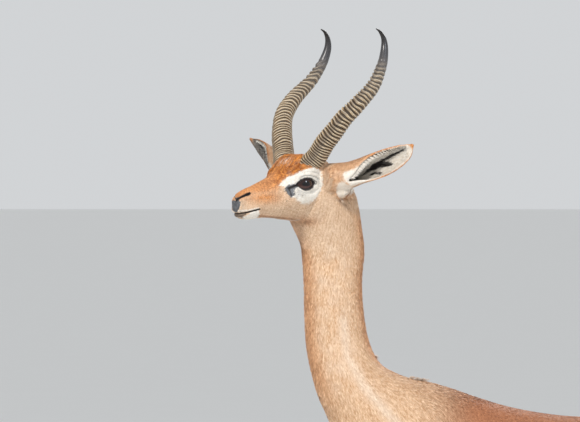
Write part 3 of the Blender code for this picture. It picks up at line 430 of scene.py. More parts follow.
# Where the rust of the forehead and nose ends below: full above the first line, faded out at the
# second
RUST_EDGE = (
    (-10, 12), (4, 13), (11, 17), (17, 20.5), (25, 25.5), (33, 28), (48, 28.5), (62, 30),
    (79, 37.5), (84, 43.5), (95, 50.5), (109, 55), (118, 60), (127.5, 65.5), (139, 67.5), (150, 66),
    (160, 73), (260, 90),
)
GOLD_OF_NOSE = (54, 16)
# Middle of a painted highlight on the crown, in millimetres in the view
PAINTED_HIGHLIGHT_OF_CROWN = (89, 77)
# Middle of the painted shade where the jaw meets the neck, in millimetres in the view
THROAT_SHADE_CORNER = (124, -25)
TAN_EDGE = (
    (-10, 6), (8, 6), (20, 8), (36, 8), (55, 5), (71, 9), (78, 20), (84, 38), (95, 46), (150, 60),
    (260, 80),
)

# How finely things are made, and the seeds of the random draws
SKIN_VOXEL = 0.0015
SKIN_TRIANGLES = 151000
TUFT_PATCH = 0.003
EAR_FRINGE_HAIRS = 10500
COAT_SEED, LONG_HAIR_SEED, EAR_FRINGE_SEED, TAIL_BRUSH_SEED = 11, 23, 31, 5

# The coat's hairs to the square metre, and where it begins and ends
BODY_DENSITY = 2.4e5
FACE_DENSITY = 1.9e6
MUZZLE_DENSITY_MORE = 1.0e6
EAR_DENSITY = 1.2e6
CROWN_DENSITY = 5.0e5
KNEE_DENSITY = 6.0e5
NAPE_DENSITY = 1.6e6
LID_EDGE = 1.12
COAT_END_HEIGHT = 0.030
CROWN_FLOOR = 1.25

# Camera, floor and light; each lamp's place, power, size and colour
VIEW_FOCUS = (-0.1925, 0, 1.2775)
VIEW_TILT = math.radians(0.5)
VIEW_DISTANCE = 16.0
VIEW_LENS = 567.5
FLOOR_REACH = 150
LAMPS = (
    ("key", (-1.3, -3.1, 3.7), 122, 0.7, (1.0, 0.96, 0.91)),
    ("fill", (2.9, -2.5, 3.3), 42, 0.9, (0.82, 0.90, 1.0)),
    ("back", (1.2, 2.8, 3.0), 55, 1.8, (1.0, 0.98, 0.95)),
)
LAMP_AIM = (-0.10, 0, 1.20)


def srgb(red, green, blue):
    """A colour given by its parts of 255, as a shader takes it."""
    return (*(((part / 255 + 0.055) / 1.055) ** 2.4 for part in (red, green, blue)), 1)


# Forms

def through(stations, steps):
    """The stations' values read from a smooth curve, with this many steps from each to the next."""
    rows = np.array(stations, float)
    padded = np.vstack([2 * rows[0] - rows[1], rows, 2 * rows[-1] - rows[-2]])
    read = []
    for before, start, end, after in zip(padded, padded[1:], padded[2:], padded[3:]):
        for t in np.arange(steps) / steps:
            read.append(
                start
                + 0.5 * t * (end - before)
                + t**2 * (before - 2.5 * start + 2 * end - 0.5 * after)
                + t**3 * (1.5 * (start - end) + 0.5 * (after - before))
            )
    return np.array(read + [rows[-1]])


def unit(vectors):
    return vectors / np.maximum(np.linalg.norm(vectors, axis=-1, keepdims=True), 1e-12)


def turns(count, roundness=2.0):
    """Cosine and sine round a turn, squared off as a superellipse."""
    angle = math.tau * np.arange(count) / count
    c, s = np.cos(angle), np.sin(angle)
    power = 2 / roundness
    return np.sign(c) * np.abs(c) ** power, np.sign(s) * np.abs(s) ** power


def mirrored(point, sign):
    return np.array(point, float) * (1, sign, 1)


def from_head(points):
    return np.asarray(points) @ HEAD_TURNED.T + NOSE_TIP


def to_head(points):
    return (np.asarray(points) - NOSE_TIP) @ HEAD_TURNED


def halved(local):
    """Points of the head's frame, all brought to its right side."""
    return local * (1, 0, 1) + np.abs(local) * (0, 1, 0)


def seen_from_the_side(local, facing):
    """Where points of the head's frame lie in millimetres in the view, and how far they face it.

    Both sides are brought to the left one, which the view shows.
    """
    right = local[:, 1] > 0
    root, tip = EAR_STATIONS[0][1], EAR_STATIONS[-1][1]
    out = np.clip((np.abs(local[:, 1]) - root) / (tip - root), 0, 1)
    lowered = halved(local) * (1, -1, 1) - np.outer(EAR_LIFT["right"] * out * right, (0, 0, 1))
    toward_viewer = HEAD_TURNED.T @ (0, -1, 0)
    turned = facing * np.where(right, -1, 1)[:, None] ** np.array((0, 1, 0))
    return (lowered @ HEAD_TURNED.T)[:, [0, 2]] * 1000, turned @ toward_viewer


def lofted(rings, looped=False):
    """Vertices and faces of a closed body through the rings, each of as many points.

    Its ends are flat caps, or, looped, its last ring is joined to its first.
    """
    rings = np.asarray(rings)
    index = np.arange(rings.shape[0] * rings.shape[1]).reshape(rings.shape[:2])
    near, far = (index, np.roll(index, -1, axis=0)) if looped else (index[:-1], index[1:])
    quads = np.stack([near, np.roll(near, -1, 1), np.roll(far, -1, 1), far], axis=-1)
    caps = [] if looped else [index[0][::-1].tolist(), index[-1].tolist()]
    return rings.reshape(-1, 3), quads.reshape(-1, 4).tolist() + caps


def ellipsoid(centre, radii, segments=24, rings=14):
    """A closed ball from rings, with tiny end caps."""
    made = []
    c, s = turns(segments)
    for polar in np.linspace(0.02, math.pi - 0.02, rings):
        ring = np.stack([c * math.sin(polar), s * math.sin(polar), np.full(segments, math.cos(polar))], 1)
        made.append(ring * radii + centre)
    return lofted(made)


def outwards(mesh):
    bm = bmesh.new()
    bm.from_mesh(mesh)
    bmesh.ops.recalc_face_normals(bm, faces=bm.faces)
    bm.to_mesh(mesh)
    bm.free()


def placed(name, mesh):
    """The object that shows a mesh, in the scene."""
    made = bpy.data.objects.new(name, mesh)
    bpy.context.scene.collection.objects.link(made)
    return made


def mesh_object(name, bodies):
    """One mesh of closed bodies, with every face outwards."""
    places, faces, start = [], [], 0
    for points, sides in bodies:
        places.append(points)
        faces += [[corner + start for corner in side] for side in sides]
        start += len(points)
    mesh = bpy.data.meshes.new(name)
    mesh.from_pydata(np.concatenate(places).tolist(), [], faces)
    outwards(mesh)
    mesh.shade_smooth()
    return placed(name, mesh)


def triangle_object(name, corners, triangles, spots):
    """One smooth mesh from arrays: its corners, its triangles and each corner's place on the unwrap."""
    mesh = bpy.data.meshes.new(name)
    mesh.vertices.add(len(corners))
    mesh.vertices.foreach_set("co", corners.astype(np.float32).ravel())
    mesh.loops.add(len(triangles) * 3)
    mesh.loops.foreach_set("vertex_index", triangles.astype(np.int32).ravel())
    mesh.polygons.add(len(triangles))
    mesh.polygons.foreach_set("loop_start", np.arange(0, len(triangles) * 3, 3, dtype=np.int32))
    mesh.update(calc_edges=True)
    mesh.shade_smooth()
    uv = mesh.uv_layers.new(name="OFBake")
    uv.data.foreach_set("uv", spots[triangles.ravel()].astype(np.float32).ravel())
    return placed(name, mesh)


def trunk():
    rings = []
    c, s = turns(96, 2.1)
    for back_x, back_z, belly_x, belly_z, width, widest in through(TRUNK_STATIONS, 8):
        back, belly = np.array((back_x, 0, back_z)), np.array((belly_x, 0, belly_z))
        middle = belly + (back - belly) * widest
        toward = np.where(s[:, None] > 0, back - middle, belly - middle)
        rings.append(middle + toward * np.abs(s)[:, None] + np.outer(width * c, (0, 1, 0)))
    return lofted(rings)


def nape():
    rings = []
    c, s = turns(72, 2.1)
    for z, x, y, half_long, half_wide, turn in through(NAPE_STATIONS, 6):
        angle = math.radians(turn)
        along = np.array((math.cos(angle), math.sin(angle), 0))
        across = np.array((-math.sin(angle), math.cos(angle), 0))
        rings.append((x, y, z) + np.outer(half_long * c, along) + np.outer(half_wide * s, across))
    return lofted(rings)


def skull():
    rings = []
    for x, top, bottom, width, widest, round_top, round_low in through(HEAD_STATIONS, 8):
        c_top, s_top = turns(96, round_top)
        c_low, s_low = turns(96, round_low)
        upper = s_top > 0
        across = np.where(upper, c_top, c_low) * width
        up = np.where(upper, s_top * (top - widest), s_low * (widest - bottom))
        rings.append(np.stack([np.full(96, x), across, widest + up], axis=1))
    points, faces = lofted(rings)
    return from_head(swollen(points, faces, HEAD_SWELLINGS.values())), faces


def point_normals(points, faces):
    mesh = bpy.data.meshes.new("reckoning")
    mesh.from_pydata(points.tolist(), [], faces)
    normals = normals_of(mesh)
    bpy.data.meshes.remove(mesh)
    outward = np.sum(normals * (points - points.mean(axis=0))) > 0
    return normals if outward else -normals


def swelling(points, centre, reach, height):
    """How far a soft form and its mirror image push each point out, or in."""
    return height * spot(halved(points), centre, reach)


def swollen(points, faces, swellings):
    """The points pushed out, or in, softly round each centre and its mirror image."""
    for centre, reach, height in swellings:
        push = swelling(points, centre, reach, height)
        points = points + point_normals(points, faces) * push[:, None]
    return points


def leg_line(rows, side_places, sign, step):
    """Where the middle of a leg runs at the rows' heights: places back and across."""
    heights, places = np.array(side_places[::-1]).T
    x = rows[:, 0] + step * (HIP_HEIGHT - rows[:, 1]) / HIP_HEIGHT
    return x, sign * np.interp(rows[:, 1], heights, places)


def limb(stations, side_places, sign, step, level_above):
    """One leg: rings level above the given height, and square to the bone below it."""
    rows = through(stations, 8)
    x, y = leg_line(rows, side_places, sign, step)
    run = unit(np.gradient(np.stack([x, rows[:, 1]], axis=1), axis=0))
    c, s = turns(44, 2.15)
    rings = []
    for i, (_, z, half_long, half_wide) in enumerate(rows):
        level = min(1, max(0, (z - level_above) / 0.05))
        square = np.array((-run[i, 1], 0, run[i, 0]))
        forward = unit(square * (1 - level) + np.array((1, 0, 0)) * level)
        rings.append((x[i], y[i], z) + np.outer(half_long * c, forward) + np.outer(half_wide * s, (0, 1, 0)))
    return lofted(rings)


def legs():
    made = []
    for side, sign in SIDES.items():
        fore, hind = FORE_STEP[side], HIND_STEP[side]
        made.append(limb(FORELEG_STATIONS, FORELEG_Y, sign, fore, 0.640))
        made.append(limb(HINDLEG_STATIONS, HINDLEG_Y, sign, hind, 0.600))
        made.append(limb(ACHILLES_STATIONS, HINDLEG_Y, sign, hind, 0.700))
        for x, z in ((0.072 + fore * 0.88, 0.108), (0.671 + hind * 0.87, 0.118)):
            for k in (-1, 1):
                centre = (x, sign * TRACK + k * 0.0075, z)
                made.append(ellipsoid(centre, (0.0065, 0.0050, 0.0085), 16, 10))
    return made


def tail():
    rings = []
    rows = through(TAIL_STATIONS, 6)
    run = unit(np.gradient(rows[:, :2], axis=0))
    c, s = turns(32)
    for (x, z, deep, wide), (dx, dz) in zip(rows, run):
        forward = np.array((-dz, 0, dx))
        rings.append((x, 0, z) + np.outer(deep * c, forward) + np.outer(wide * s, (0, 1, 0)))
    return lofted(rings)


def ear_frames(side, steps):
    """Along one ear, in the head's frame: middle, axis, opening, across, radius, half angle, share."""
    sign = SIDES[side]
    rows = through(EAR_STATIONS, steps)
    places = rows[:, :3] * (1, sign, 1)
    share = (rows[:, 1] - rows[0, 1]) / (rows[-1, 1] - rows[0, 1])
    axis = unit(np.gradient(places, axis=0))
    toward = np.minimum(1, share * 1.4)[:, None]
    opening = (EAR_OPENING_ROOT * (1 - toward) + EAR_OPENING_TIP * toward) * (1, sign, 1)
    opening = unit(opening - axis * np.sum(opening * axis, axis=1, keepdims=True))
    middle = places + np.outer(EAR_LIFT[side] * share, (0, 0, 1))
    middle = middle + np.outer(share**2, np.array(EAR_TIP_SHIFT[side]) @ HEAD_TURNED)
    return middle, axis, opening, np.cross(axis, opening), rows[:, 3], np.radians(rows[:, 4]), share


def ear(side):
    """A thin leaf-shaped cup that closes to a tube at its root."""
    rings = []
    for middle, _, opening, across, radius, half_angle, share in zip(*ear_frames(side, 5)):
        ring = []
        for wall, turn in ((0, 1), (EAR_WALL, -1)):
            reach = radius - wall * (0.6 if share > 0.97 else 1)
            angle = half_angle * np.linspace(-1, 1, 41)[:, None] * turn
            ring.append(middle + reach * (across * np.sin(angle) - opening * np.cos(angle)))
        rings.append(np.concatenate(ring))
    points, faces = lofted(rings)
    return from_head(points), faces


def ear_bulb(sign):
    points, faces = ellipsoid(mirrored(EAR_BULB_CENTRE, sign), EAR_BULB_RADII, 48, 32)
    return from_head(points), faces


# Reading and evening out a mesh

def read_from(items, name, width, kind):
    """One property of all of a mesh's items, in rows of this width."""
    values = np.zeros(len(items) * width, kind)
    items.foreach_get(name, values)
    return values.reshape(-1, width)


def places_of(mesh):
    return read_from(mesh.vertices, "co", 3, np.float32).astype(float)


def normals_of(mesh):
    return read_from(mesh.vertex_normals, "vector", 3, np.float32).astype(float)


def set_places(mesh, points):
    mesh.vertices.foreach_set("co", np.asarray(points, np.float32).ravel())
    mesh.update()


def edges_of(mesh):
    return read_from(mesh.edges, "vertices", 2, np.int32)


def triangles_of(mesh):
    mesh.calc_loop_triangles()
    return read_from(mesh.loop_triangles, "vertices", 3, np.int32)


def evened(values, edges, rounds):
    """Values at the vertices, spread along the edges again and again."""
    size = len(values)
    shared = np.maximum(np.bincount(edges.ravel(), minlength=size), 1)[:, None]
    for _ in range(rounds):
        total = np.stack(
            [
                np.bincount(edges[:, 0], column[edges[:, 1]], size)
                + np.bincount(edges[:, 1], column[edges[:, 0]], size)
                for column in values.T
            ],
            axis=1,
        )
        values = 0.5 * values + 0.5 * total / shared
    return values


def ramp(low, high, value):
    """0 below low, 1 above high, and a smooth rise between."""
    t = np.clip((value - low) / (high - low), 0, 1)
    return t * t * (3 - 2 * t)


def fall(low, high, value):
    """1 below low, 0 above high, and a smooth fall between."""
    return 1 - ramp(low, high, value)


def bell(away, width):
    """1 where away is 0, fading to nothing on both sides."""
    return np.exp(-((away / width) ** 2))


def spot(points, centre, reach):
    """1 at the centre, fading to nothing a little beyond the reach along each axis."""
    return np.exp(-np.sum(((points - centre) / reach) ** 2, axis=1))


def most(*layers):
    """The strongest of the layers at each point."""
    return np.maximum.reduce(layers)


def from_path(points, path):
    """How far each point is from a path, and how far along the path its nearest place lies."""
    path = np.asarray(path, float)
    best, along = np.full(len(points), np.inf), np.zeros(len(points))
    for k, (start, end) in enumerate(zip(path, path[1:])):
        run = end - start
        t = np.clip(((points - start) @ run) / (run @ run), 0, 1)
        far = np.linalg.norm(points - start - t[:, None] * run, axis=1)
        closer = far < best
        best[closer], along[closer] = far[closer], k + t[closer]
    return best, along


def inside(points, outline):
    """How far inside an outline each point is, and less than 0 outside."""
    outline = np.asarray(outline, float)
    far, _ = from_path(points, np.vstack([outline, outline[:1]]))
    odd = np.zeros(len(points), bool)
    for (x1, y1), (x2, y2) in zip(outline, np.roll(outline, -1, axis=0)):
        spans = (y1 > points[:, 1]) != (y2 > points[:, 1])
        if y1 != y2:
            odd ^= spans & (points[:, 0] < (x2 - x1) * (points[:, 1] - y1) / (y2 - y1) + x1)
    return np.where(odd, far, -far)


def mottle(points, size):
    """Soft uneven spots about this far apart, from -1 to 1."""
    total = np.zeros(len(points))
    for k in range(5):
        turned = math.tau / (size * (0.7 + 0.23 * k))
        direction = unit(np.array((math.sin(1.7 * k + 0.4), math.cos(2.3 * k), math.sin(3.1 * k + 1.1))))
        other = unit(np.array((math.cos(2.9 * k), math.sin(1.3 * k + 2.0), math.cos(1.1 * k + 0.7))))
        total += np.sin(points @ direction * turned + k) * np.cos(points @ other * turned * 0.8 + 2 * k)
    return total / 2.5


def speckle(points, size):
    """A random share for each small cell of space."""
    cells = np.floor(points / size).astype(np.int64) @ np.array((73856093, 19349663, 83492791))
    return ((cells * 2654435761) & 0xFFFFFF) / 0xFFFFFF


# Bones that the coat follows: where each runs, which way the hair lies, and how thick it is there

def bones():
    """Each bone as middles, directions, a reference for turning round it, and thicknesses."""
    found = {}
    rows = through(TRUNK_STATIONS, 6)[::-1]
    back, belly = np.insert(rows[:, 0:2], 1, 0, axis=1), np.insert(rows[:, 2:4], 1, 0, axis=1)
    thick = np.linalg.norm(back - belly, axis=1) / 4 + rows[:, 4] / 2
    found["trunk"] = ((back + belly) / 2, back - belly, thick)
    rows = through(HEAD_STATIONS, 4)
    middle = np.stack([rows[:, 0], rows[:, 0] * 0, (rows[:, 1] + rows[:, 2]) / 2], axis=1)
    up = np.tile(HEAD_TURNED[:, 2], (len(rows), 1))
    found["head"] = (from_head(middle), up, (rows[:, 1] - rows[:, 2]) / 4 + rows[:, 3] / 2)
    for side in SIDES:
        middle, _, opening, _, radius, _, share = ear_frames(side, 4)
        kept = share > 0.10
        found[f"ear_{side}"] = (from_head(middle)[kept], opening[kept] @ -HEAD_TURNED.T, radius[kept])
    for side, sign in SIDES.items():
        for name, stations, places, step in (
            ("foreleg", FORELEG_STATIONS, FORELEG_Y, FORE_STEP[side]),
            ("hindleg", HINDLEG_STATIONS, HINDLEG_Y, HIND_STEP[side]),
        ):
            rows = through(stations, 6)
            x, y = leg_line(rows, places, sign, step)
            up = np.tile((-1.0, 0, 0), (len(rows), 1))
            thick = (rows[:, 2] + rows[:, 3]) / 2
            found[f"{name}_{side}"] = (np.stack([x, y, rows[:, 1]], axis=1), up, thick)
    rows = through(TAIL_STATIONS[1:], 6)
    middle = np.stack([rows[:, 0], rows[:, 0] * 0, rows[:, 1]], axis=1)
    found["tail"] = (middle, np.tile((1.0, 0, 0), (len(rows), 1)), (rows[:, 2] + rows[:, 3]) / 2)
    return found


BONES = bones()
BONE_NAMES = list(BONES)
SAMPLES = np.concatenate([middle for middle, _, _ in BONES.values()])
SAMPLE_RUNS = np.concatenate([unit(np.gradient(middle, axis=0)) for middle, _, _ in BONES.values()])
SAMPLE_UPS = unit(np.concatenate([up for _, up, _ in BONES.values()]))
SAMPLE_THICK = np.concatenate([thick for _, _, thick in BONES.values()])
SAMPLE_BONES = np.concatenate([[i] * len(BONES[name][0]) for i, name in enumerate(BONE_NAMES)])
SAMPLE_ALONG = np.concatenate([np.linspace(0, 1, len(middle)) for middle, _, _ in BONES.values()])


def nearest_samples(points):
    """The bone sample that each point belongs to: the nearest by the bone's own thickness."""
    found = []
    for some in np.array_split(points, max(1, len(points) // 20000)):
        away = np.linalg.norm(some[:, None] - SAMPLES[None], axis=2) / SAMPLE_THICK
        found.append(np.argmin(away, axis=1))
    return np.concatenate(found)


# The chart of each bone on the unwrap: its left, bottom, width and height
CHARTS = {
    "trunk": (0.01, 0.01, 0.98, 0.36),
    "head": (0.01, 0.39, 0.48, 0.28),
    "ear_left": (0.51, 0.39, 0.23, 0.13),
    "ear_right": (0.76, 0.39, 0.23, 0.13),
    "foreleg_left": (0.01, 0.70, 0.23, 0.27),
    "foreleg_right": (0.26, 0.70, 0.23, 0.27),
    "hindleg_left": (0.51, 0.70, 0.23, 0.27),
    "hindleg_right": (0.76, 0.70, 0.20, 0.27),
    "tail": (0.97, 0.70, 0.02, 0.27),
}
INNER_EAR_RISE = 0.15


def unwrapped(points, samples, inner):
    """The place of each point on the unwrap: along its bone and round it."""
    away = points - SAMPLES[samples]
    run, up = SAMPLE_RUNS[samples], SAMPLE_UPS[samples]
    up = unit(up - run * np.sum(up * run, axis=1, keepdims=True))
    angle = np.arctan2(np.sum(away * np.cross(run, up), axis=1), np.sum(away * up, axis=1))
    boxes = np.array([CHARTS[name] for name in BONE_NAMES])[SAMPLE_BONES[samples]]
    along = boxes[:, 0] + boxes[:, 2] * SAMPLE_ALONG[samples]
    around = boxes[:, 1] + boxes[:, 3] * (angle / math.tau + 0.5)
    return np.stack([along, around + inner * INNER_EAR_RISE], axis=1)


# Markings

def ear_share(local):
    """How far points of the head's frame belong to an ear."""
    return ramp(0.050, 0.060, np.abs(local[:, 1])) * (local[:, 0] > 0.185)


def head_shares(points):
    """How far points belong to the head, its ears included, and to the ears alone; their places on it."""
    local = to_head(points)
    ears = ear_share(local) * ramp(1.24, 1.28, points[:, 2])
    head = fall(0.225, 0.285, local[:, 0]) * ramp(1.19, 1.26, points[:, 2])
    return np.maximum(head, ears), ears, local


def ear_place(head_points, facing, side):
    """For points and normals in the head's frame: share along the ear, turn round its cup,
    whether they are on the inside of it, and whether they are near it at all."""
    middle, _, opening, across, radius, half_angle, share = ear_frames(side, 5)
    nearest = np.concatenate(
        [
            np.argmin(np.linalg.norm(some[:, None] - middle[None], axis=2), axis=1)
            for some in np.array_split(head_points, max(1, len(head_points) // 20000))
        ]
    )
    away = head_points - middle[nearest]
    turn = np.arctan2(
        np.sum(away * across[nearest], axis=1), -np.sum(away * opening[nearest], axis=1)
    )
    inner = np.sum(away * facing, axis=1) < 0
    near = np.linalg.norm(away, axis=1) < radius[nearest] + EAR_WALL
    return share[nearest], turn / half_angle[nearest], inner, near


def markings(points, normals):
    """How far each coat colour covers the points: saddle, rust, pale; grey, dark."""
    x, y, z = points.T
    ragged = mottle(points, 0.006) * 0.0010

    # Chestnut over the back, rust along the nape and throat
    rows = np.array(TRUNK_STATIONS[:14])[::-1]
    back, belly = np.interp(x, rows[:, 0], rows[:, 1]), np.interp(x, rows[:, 2], rows[:, 3])
    share = (z - belly) / np.maximum(back - belly, 0.02)
    line = 0.60 + 0.10 * ramp(0.35, 0.66, x) + mottle(points, 0.05) * 0.012
    saddle = np.maximum(
        0.9 * ramp(0.02, 0.14, x) * ramp(line - 0.035, line + 0.035, share),
        0.35 * ramp(0.0, 0.10, x) * ramp(0.30, 0.60, share),
    )
    neck = fall(0.00, 0.06, x) * ramp(0.90, 1.0, z)
    nape_edge = ramp(0.2, 0.9, normals[:, 0]) * fall(0.010, 0.034, np.abs(y))
    ridge = ramp(0.3, 0.95, normals[:, 2]) * fall(0.006, 0.022, np.abs(y)) * ramp(0.0, 0.1, x)
    rust = most(0.55 * neck * nape_edge, 0.42 * neck * ramp(0.3, 0.9, -normals[:, 0]), 0.12 * ridge)

    # White belly, inner legs and rump, and a painted highlight down over the shoulder and on the sides of
    # the neck
    under = ramp(-0.02, 0.06, x) * fall(0.10, 0.20, share + ragged * 8)
    on_limb = np.maximum(fall(0.15, 0.24, x), ramp(0.44, 0.54, x)) * fall(0.2, 0.6, -normals[:, 2])
    inner = ramp(0.15, 0.65, -np.sign(y) * normals[:, 1])
    under = under * (1 - on_limb * (1 - inner))
    painted_sheen = neck * ramp(0.75, 0.98, np.abs(normals[:, 1])) * (0.12 + 0.14 * mottle(points, 0.045))
    from_highlight, _ = from_path(points[:, [0, 2]], SHOULDER_HIGHLIGHT)
    painted_highlight = np.maximum(painted_sheen, 0.34 * bell(from_highlight, 0.010) * (np.abs(y) > 0.02))
    from_rump = np.linalg.norm((points - RUMP_PATCH_CENTRE) / RUMP_PATCH_REACH, axis=1)
    pale = most(
        under * ramp(0.56, 0.62, z) * fall(0.095, 0.110, np.abs(y)),
        inner * fall(0.72, 0.80, z) * (0.45 + 0.47 * ramp(0.42, 0.52, z)),
        painted_highlight * ramp(0.80, 0.90, z),
        0.95 * fall(0.75, 1.05, from_rump),
    )

    # Dark knees, backs of the shanks, coronets and end of the tail
    tail_end = (x > 0.69) * fall(0.64, 0.70, z) * ramp(0.5, 0.55, z)
    dark = most(
        0.75 * bell(z - DARK_KNEE_HEIGHT, 0.020) * (x < 0.2) * ramp(0.2, 0.8, -normals[:, 0]),
        0.35 * bell(z - DARK_SHANK_HEIGHT, 0.020) * (x > 0.5) * ramp(0.3, 0.9, normals[:, 0]),
        0.85 * fall(0.040, 0.062, z),
        tail_end * (np.abs(y) < 0.02),
    )
    grey = np.zeros(len(points))

    place = to_head(points)
    near = np.flatnonzero((place[:, 0] < 0.30) & (z > 1.215) & (np.abs(place[:, 1]) < 0.26))
    if len(near):
        warm, cool = head_markings(place[near], normals[near] @ HEAD_TURNED, ragged[near] * 1000)
        rust[near] = np.maximum(rust[near] * fall(1.25, 1.29, z[near]), warm[:, 0])
        pale[near] = np.maximum(pale[near], warm[:, 1])
        grey[near], dark[near] = cool.T
    return np.stack([saddle, rust, pale], axis=1), np.stack([grey, dark], axis=1)


def head_markings(local, facing, rough):
    """Rust and pale, grey and dark over the head, for points and normals of its frame."""
    seen, toward = seen_from_the_side(local, facing)
    rearward, upward = seen.T
    sided = np.where(local[:, 1] > 0, 1, -1)

    def area(outline, soft=1.0):
        return ramp(-soft, soft, inside(seen, outline) + rough)

    def band(name, width, soft=0.6):
        far, _ = from_path(seen, through(FACE_LINES[name][0], 3))
        return fall(width - soft, width + soft, far + rough * 0.3)

    on_ear = ear_share(local)
    side = ramp(-0.35, 0.05, toward)
    face = (1 - on_ear) * fall(0.215, 0.240, local[:, 0])
    cheek = face * side

    # Rust over the crown and down the nose, golden beside it, duller behind the horns; along the jaw's edge,
    # where the jaw meets the neck, under the bulb of the ear, in the creases behind the eye and in the
    # valley of the brow it is painted shade
    top, low = (np.interp(rearward, *np.array(edge, float).T) for edge in (RUST_EDGE, TAN_EDGE))
    level = (upward - low + rough * 1.5) / (top - low)
    crown = 0.52 * ramp(-0.1, 0.7, level) + 0.28 * ramp(0.65, 1.10, level)
    crown += 0.20 * ramp(0.9, 1.2, level) * ramp(60, 88, rearward)
    gold = spot(seen, GOLD_OF_NOSE, (30, 12)) * (1 + 0.2 * mottle(local, 0.008))
    crown = np.maximum(crown, 0.80 * gold)
    throat_shade = spot(seen, THROAT_SHADE_CORNER, (24, 7)) * side
    shaded_folds = ("first fold", "second fold", "third fold", "fold of the ear")
    rust = most(
        face * crown * (1 - 0.80 * ramp(0.176, 0.190, local[:, 0])),
        0.62 * cheek * band("edge of the jaw", 2.6, 2.2),
        0.60 * throat_shade,
        0.50 * side * band("under the bulb", 1.6, 1.6),
        *(0.42 * side * band(name, 0.8, 1.2) for name in shaded_folds),
        cheek * band("valley of the brow", 1.5, 2.5),
    )

    # White round the eye, on the lips and chin, and under the jaw; a painted highlight on the crown
    soft_below = 1.4 + 3.0 * fall(10, 26, upward)
    painted_gloss = spot(seen, PAINTED_HIGHLIGHT_OF_CROWN, (12, 7)) * (toward > 0.1)
    pale = most(
        cheek * ramp(-soft_below, soft_below, inside(seen, WHITE_ROUND_EYE) + rough * 1.5),
        0.75 * cheek * band("upper lip", 1.6, 1.2),
        cheek * area(WHITE_CHIN),
        # Painted light: the cheek a little paler
        0.11 * cheek * (1 - crown),
        0.6 * face * ramp(0.86, 1.0, -facing[:, 2]) * ramp(0.035, 0.060, local[:, 0]),
        0.80 * face * painted_gloss * ramp(-0.3, 0.5, mottle(local * (0.6, 1, 1), 0.004)),
    )

    # Grey of the gland, the nose and the lids, and painted shade along the creases of the lid and brow and
    # below the eye
    speckled = fall(14, 34, rearward) * fall(8, 16, upward) * face
    grey = most(
        cheek * area(GLAND_PATCH),
        face * area(NOSE_PAD, 0.6) * ramp(-0.6, -0.1, toward),
        0.35 * cheek * area(GREY_UNDER_EYE, 3.0) * (0.6 + 0.4 * mottle(local, 0.003)),
        0.50 * side * band("crease of the lid", 1.0, 1.0),
        0.30 * side * band("crease of the brow", 0.7, 0.8),
        0.35 * side * band("crease below the eye", 0.9, 0.9),
        0.40 * speckled * (0.5 + 0.5 * mottle(local, 0.0035)),
    )

    # Dark nostrils, mouth, lids, creases and specks; the nostrils and the mouth are partly painted shade in
    # their openings, and the dark in the creases, along the jaw's edge and where the jaw meets the neck is
    # painted shade
    streaks = face * ramp(1.0, 1.3, level) * ramp(70, 90, rearward)
    above_white = bell(level - 1.16, 0.14) * ramp(80, 92, rearward) * fall(150, 160, rearward)
    dark = most(
        cheek * ramp(-1.0, 0.3, inside(seen, NOSTRIL_PATCH)),
        0.35 * face * area(NOSE_PAD) * np.clip(0.4 + mottle(local, 0.0035), 0, 1),
        0.80 * cheek * area(LOWER_LIP_PATCH),
        *(strength * side * band(name, width) for name, width, strength in DARK_LINES),
        0.34 * cheek * band("edge of the jaw", 2.0, 2.0),
        0.20 * throat_shade,
        *(0.7 * side * fall(0.5, 1.2, np.linalg.norm(seen - speck, axis=1)) for speck in DARK_SPECKS),
        fall(1.10, 1.24, eye_place(local)),
        0.42 * streaks * ramp(0.05, 0.7, mottle(local * (0.6, 1, 1), 0.0055)),
        0.30 * cheek * above_white,
    )
    dark = dark * (1 - on_ear)

    # Ears: white inside with dark bands and painted shade deep in the cup, an orange rim, tan behind
    spread = inside(seen, DARK_OF_EAR) + rough
    black = np.maximum(ramp(-0.9, 0.9, spread), area(LOWER_DARK_OF_EAR, 0.8))
    white = area(WHITE_OF_EAR, 1.2)
    for name, sign in SIDES.items():
        mine = np.flatnonzero((on_ear > 0) & (sided == sign))
        if not len(mine):
            continue
        along, turn, within, close = ear_place(local[mine], facing[mine], name)
        bands = black[mine]
        # The far ear's inside is painted in shade: wider dark bands, and dark over its lower half and near
        # its tip
        if name == "right":
            painted_shade = 0.86 + 0.12 * mottle(local[mine], 0.004)
            low_half = np.maximum(ramp(0.0, 0.35, -turn), ramp(0.74, 0.84, along))
            bands = np.maximum(ramp(-5.0, -3.4, spread[mine]), painted_shade * low_half)
        amount, shown = on_ear[mine] * close, ramp(-0.15, 0.15, toward[mine])
        rim = ear_rim(along, turn)
        edge = ramp(0.93, 0.99, np.abs(turn)) * ramp(0.48, 0.60, along)
        edge = np.maximum(edge, ramp(0.935, 0.975, along))
        hair = np.where(within, 0.95 * (1 - edge), white[mine] * shown * (1 - 0.9 * rim))
        # Painted shade deep in the cup near its root, and on inner faces turned away from the side view
        deep = within * fall(0.22, 0.32, along) * fall(0.60, 0.85, np.abs(turn))
        turned_off = fall(-0.40, -0.10, toward[mine])
        unseen_shade = within * turned_off * fall(0.78, 0.90, along) * fall(0.6, 0.9, np.abs(turn))
        bands = most(bands * within, 0.95 * deep, 0.80 * unseen_shade)
        pale[mine] = np.maximum(pale[mine] * (1 - amount), amount * hair)
        rim = np.maximum(rim, edge)
        # The far ear's outer front is painted dark with the horn's shadow
        if name == "right":
            dark[mine] = np.maximum(dark[mine], 0.40 * amount * ~within * ramp(0.30, 0.60, turn))
        rust[mine] = np.maximum(rust[mine], amount * (0.26 + 0.62 * rim) * (1 - hair))
        dark[mine] = np.maximum(dark[mine], amount * bands * fall(0.95, 0.99, along))
    bulb = side * area(PALE_BULB, 2.0)
    pale = np.maximum(pale, 0.85 * bulb)
    rust = rust * (1 - 0.8 * bulb)
    return np.stack([rust, pale], axis=1), np.stack([grey, dark], axis=1)


